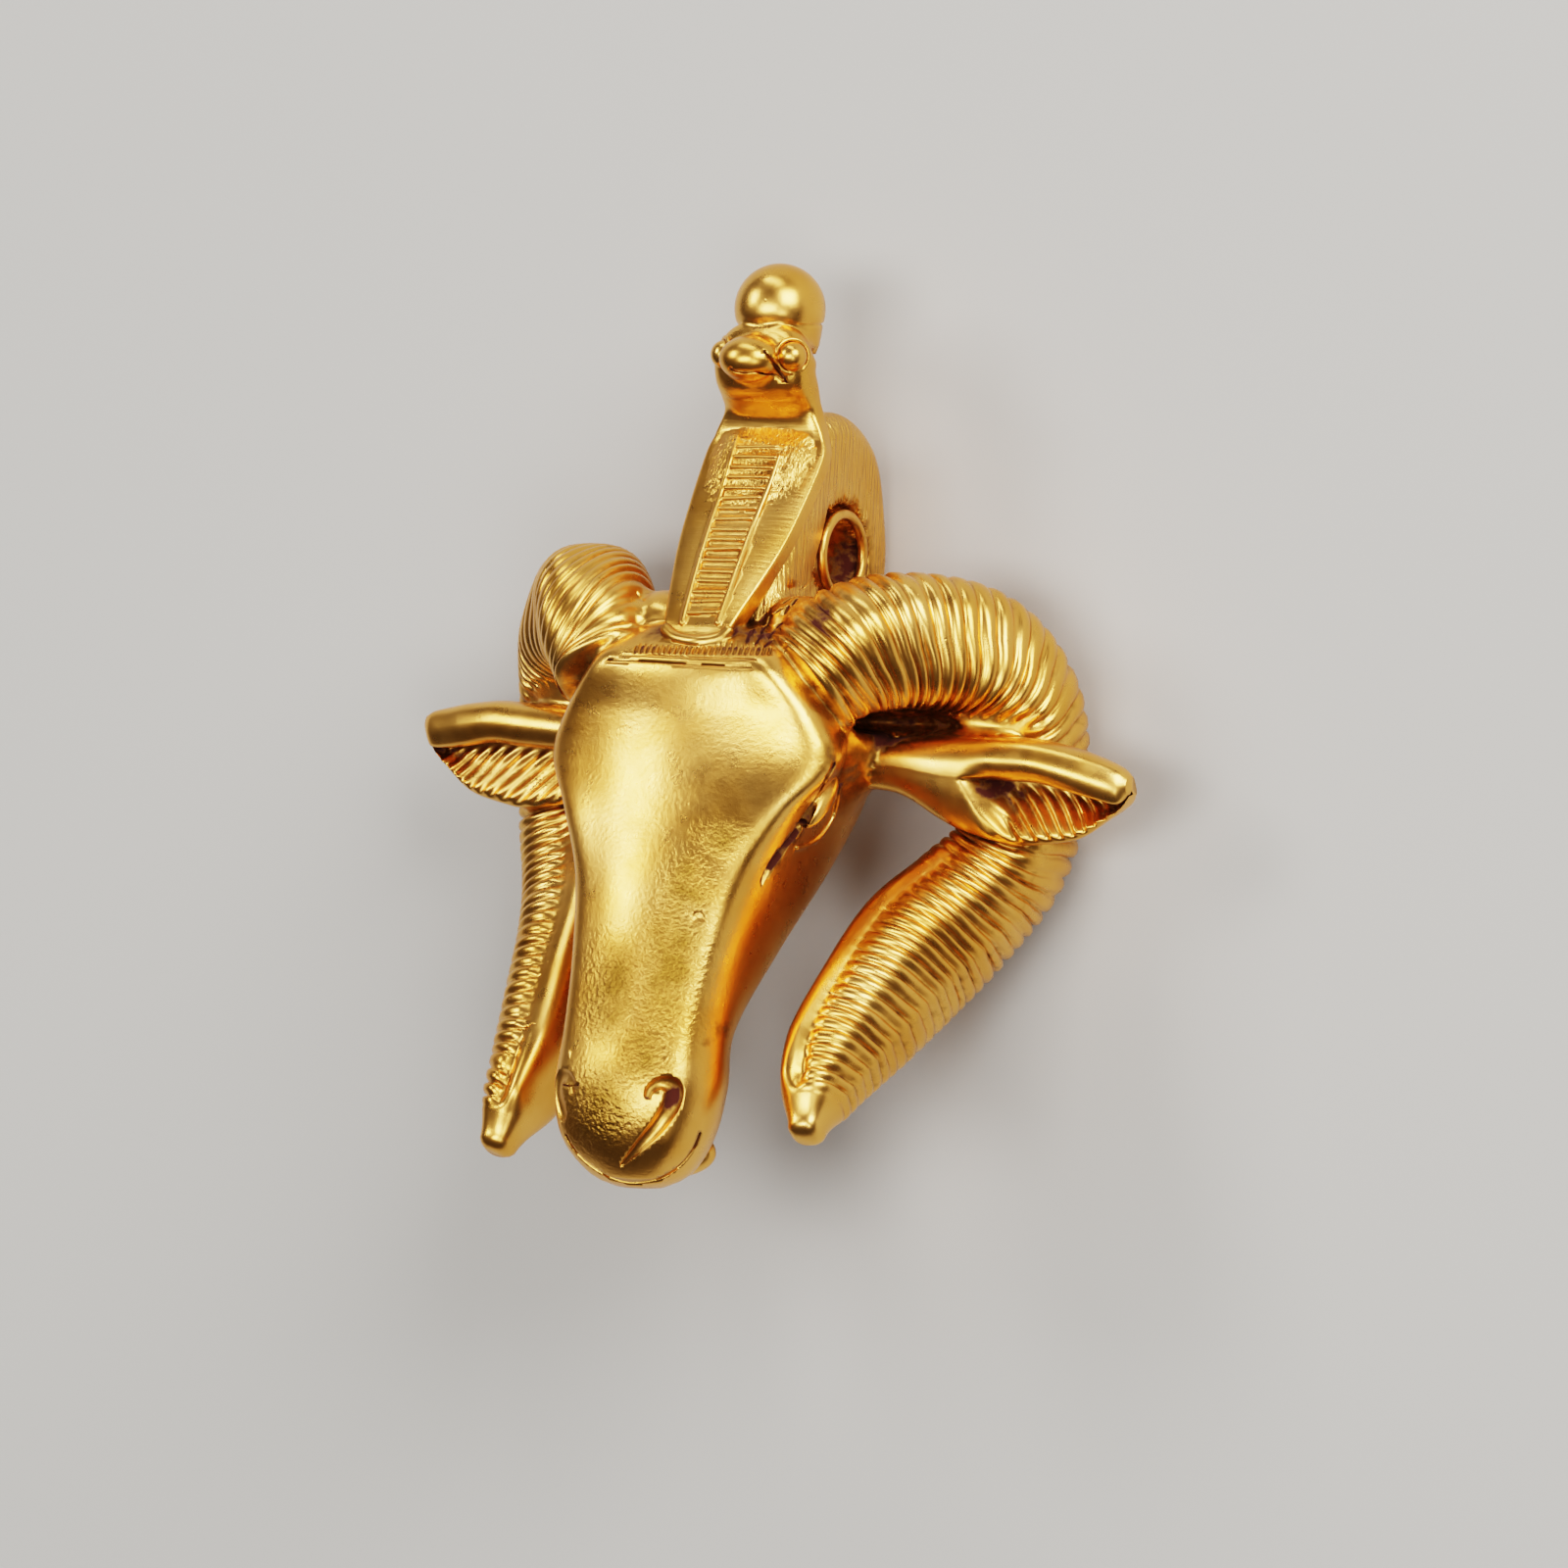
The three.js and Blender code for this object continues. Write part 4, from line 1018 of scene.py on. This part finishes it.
def make_gold():
    gold = bpy.data.materials.new("cast_gold")
    gold.use_nodes = True
    tree = gold.node_tree
    tree.nodes.clear()
    place = add(tree, "TexCoord", output="Object")
    hollow, fold, dirt_and_shade, mottle, lug, cobra, face = (
        add(tree, "Attribute", output="Fac", attribute_name=name)
        for name in ("hollow", "fold", "dirt_and_shade", "mottle", "lug", "cobra", "face"))
    cloud, patch, speck = (
        add(tree, "TexNoise", {"Vector": place, "Scale": PER_MM / size, "Detail": detail})
        for size, detail in ((CLOUD_MM, 3), (PATCH_MM, 4), (SPECK_MM, 5)))

    # How closed in each point is: a thin orange film lies on what is, and brown soil on what is most. Both
    # are darker colours that also paint the shade falling in the hollows, the cuts and between the parts.
    folded = add(tree, "MapRange", {"Value": fold, "From Min": 0.04, "From Max": 0.35, "To Max": 0.55})
    ragged = add(tree, "MapRange", {"Value": speck, "From Min": 0.3, "From Max": 0.7,
                                    "To Min": -0.22, "To Max": 0.22})
    closed = 0
    for value, weight in ((hollow, 1.1), (dirt_and_shade, 0.75), (folded, 1), (ragged, 1)):
        closed = add(tree, "Math", {0: value, 1: weight, 2: closed}, operation="MULTIPLY_ADD")
    film_and_shade = add(tree, "MapRange", {"Value": closed, "From Min": 0.25, "From Max": 0.75})
    soil_and_shade = add(tree, "MapRange", {"Value": closed, "From Min": 0.72, "From Max": 0.95})

    # The alloy itself varies a little, and the hammered patches on the nose are painted darker: tarnish
    # together with painted shade where the nose turns away from the lights.
    alloy = add(tree, "MapRange", {"Value": cloud, "From Min": 0.35, "From Max": 0.65})
    tarnish_and_shade = add(tree, "Math", {0: patch, 1: 1.6, 2: 0.15}, operation="MULTIPLY_ADD")
    tarnish_and_shade = add(tree, "Math", {0: mottle, 1: tarnish_and_shade}, operation="MULTIPLY", use_clamp=True)
    colour = shade(GOLD_YELLOW)
    for share, over in ((alloy, GOLD_DEEP), (tarnish_and_shade, TARNISH_AND_SHADE), (film_and_shade, FILM_AND_SHADE_ORANGE), (soil_and_shade, SOIL_AND_SHADE_BROWN)):
        colour = add(tree, "Mix", {0: share, 6: colour, 7: shade(over)}, 2, data_type="RGBA")

    # Burnished metal is fairly sharp, film dulls it, and soil is earth and hardly metal at all.
    rough = add(tree, "MapRange", {"Value": patch, "From Min": 0.3, "From Max": 0.7,
                                   "To Min": ROUGH_LEAST, "To Max": ROUGH_MOST})
    for value, more in ((mottle, 0.05), (film_and_shade, 0.1), (soil_and_shade, 0.55)):
        rough = add(tree, "Math", {0: value, 1: more, 2: rough}, operation="MULTIPLY_ADD")
    metallic = add(tree, "MapRange", {"Value": soil_and_shade, "To Min": 1.0, "To Max": SOIL_METALLIC})

    # Relief too fine for the mesh: hammered dents, the lug's brushing, the cobra's filing, pits and grain.
    dent = add(tree, "TexNoise", {"Vector": place, "Scale": PER_MM / DENT_MM, "Detail": 3})
    dented = add(tree, "MapRange", {"Value": mottle, "From Min": 0.1, "From Max": 0.8,
                                    "To Min": DENTS_PLAIN, "To Max": DENTS_HAMMERED})
    dented = add(tree, "Math", {0: face, 1: DENTS_FACE, 2: dented}, operation="MULTIPLY_ADD")
    scratches = []
    for stretch, part in (((1, 0.05, 1), lug), ((0.06, 1, 1), cobra)):
        drawn_out = add(tree, "VectorMath", {0: place, 1: stretch}, operation="MULTIPLY")
        scratch = add(tree, "TexNoise", {"Vector": drawn_out, "Scale": PER_MM / BRUSH_MM, "Detail": 2})
        scratches.append(add(tree, "Math", {0: scratch, 1: part}, operation="MULTIPLY"))
    brushed, filed = scratches
    from_pit = add(tree, "TexVoronoi", {"Vector": place, "Scale": PER_MM / PIT_MM})
    chance = add(tree, "TexVoronoi", {"Vector": place, "Scale": PER_MM / PIT_MM}, "Color")
    pit = add(tree, "MapRange", {"Value": from_pit, "From Max": PIT_RADIUS,
                                 "To Min": -PIT_DEPTH, "To Max": 0.0})
    pitted = add(tree, "MapRange", {"Value": chance, "From Min": PIT_CHANCE[0], "From Max": PIT_CHANCE[1]})
    grain = add(tree, "TexNoise", {"Vector": place, "Scale": PER_MM / GRAIN_MM, "Detail": 2})
    relief = 0
    for shape, depth in ((dent, dented), (brushed, BRUSH_DEPTH), (filed, FILING_DEPTH),
                         (pit, pitted), (grain, GRAIN_DEPTH)):
        relief = add(tree, "Math", {0: shape, 1: depth, 2: relief}, operation="MULTIPLY_ADD")
    bump = add(tree, "Bump", {"Height": relief, "Strength": 1.0, "Distance": RELIEF})

    surface = add(tree, "BsdfPrincipled",
                  {"Base Color": colour, "Metallic": metallic, "Roughness": rough, "Normal": bump})
    add(tree, "OutputMaterial", {"Surface": surface})
    return gold


amulet.data.materials.clear()
amulet.data.materials.append(make_gold())

# The table, the lights and the camera
# The amulet lies on pale paper, and the camera looks down on it at the photograph's viewing angle. The big
# soft light stands where the photograph has its own, and the small ones fill the shaded sides.
PAPER, STUDIO_GREY = "#b8b5b0", "#8a8a8a"
TABLE_HALF = 0.6
SENSOR = 36.0
BOX_DISTANCE = 0.5
BOX_AIM = Vector((0, 0, 0.008))
SOFTBOXES = [  # the way it stands in, its width and height in metres, and its watts
    ("right_box", (0.68, 0.5, 0.52), 0.3, 0.28, 1.6),
    ("top_box", (-0.1, 0.94, 0.33), 0.36, 0.1, 0.4),
    ("left_box", (-0.66, 0.37, 0.66), 0.12, 0.2, 0.52),
    ("low_box", (0.55, -0.22, 0.8), 0.16, 0.16, 0.25),
    ("front_box", (0.0, -0.02, 1.0), 0.34, 0.14, 0.95),
]

corners = [(x * TABLE_HALF, y * TABLE_HALF, 0) for x, y in ((-1, -1), (1, -1), (1, 1), (-1, 1))]
table = mesh_object("table", corners, [(0, 1, 2, 3)])
paper = bpy.data.materials.new("pale_paper")
paper.use_nodes = True
paper_shader = paper.node_tree.nodes["Principled BSDF"]
paper_shader.inputs["Base Color"].default_value = shade(PAPER)
paper_shader.inputs["Roughness"].default_value = 0.9
table.data.materials.append(paper)

camera_data = bpy.data.cameras.new("camera")
camera_data.sensor_width = SENSOR
camera_data.lens = SENSOR * VIEW_DISTANCE * PIXELS_PER_MM / PHOTO_SIZE
camera_data.clip_start, camera_data.clip_end = 0.01, 10
camera = in_scene("camera", camera_data)
turn = Matrix((right, up, toward)).transposed().to_4x4()
lying = laid.to_3x3().normalized().to_4x4()
camera.matrix_world = Matrix.Translation(laid @ view_place) @ lying @ turn
bpy.context.scene.camera = camera


def softbox(name, direction, width, height, watts):
    """A rectangular light that faces the amulet from a direction in the row frame, its height towards +Y."""
    data = bpy.data.lights.new(name, "AREA")
    data.shape = "RECTANGLE"
    data.size, data.size_y = width, height
    data.energy = watts
    away = Vector(direction).normalized()
    across = Vector((0, 1, 0)).cross(away).normalized()
    turn = Matrix((across, away.cross(across), away)).transposed().to_4x4()
    in_scene(name, data).matrix_world = Matrix.Translation(BOX_AIM + away * BOX_DISTANCE) @ turn


for box in SOFTBOXES:
    softbox(*box)

# The studio around it is dim, so that the gold shows the lights and not the walls.
world = bpy.data.worlds.new("studio")
bpy.context.scene.world = world
world.use_nodes = True
background = world.node_tree.nodes["Background"].inputs
background["Color"].default_value = shade(STUDIO_GREY)
background["Strength"].default_value = 0.18
view = bpy.context.scene.view_settings
view.view_transform = "Filmic"
view.look = "High Contrast"
view.exposure = 0.45
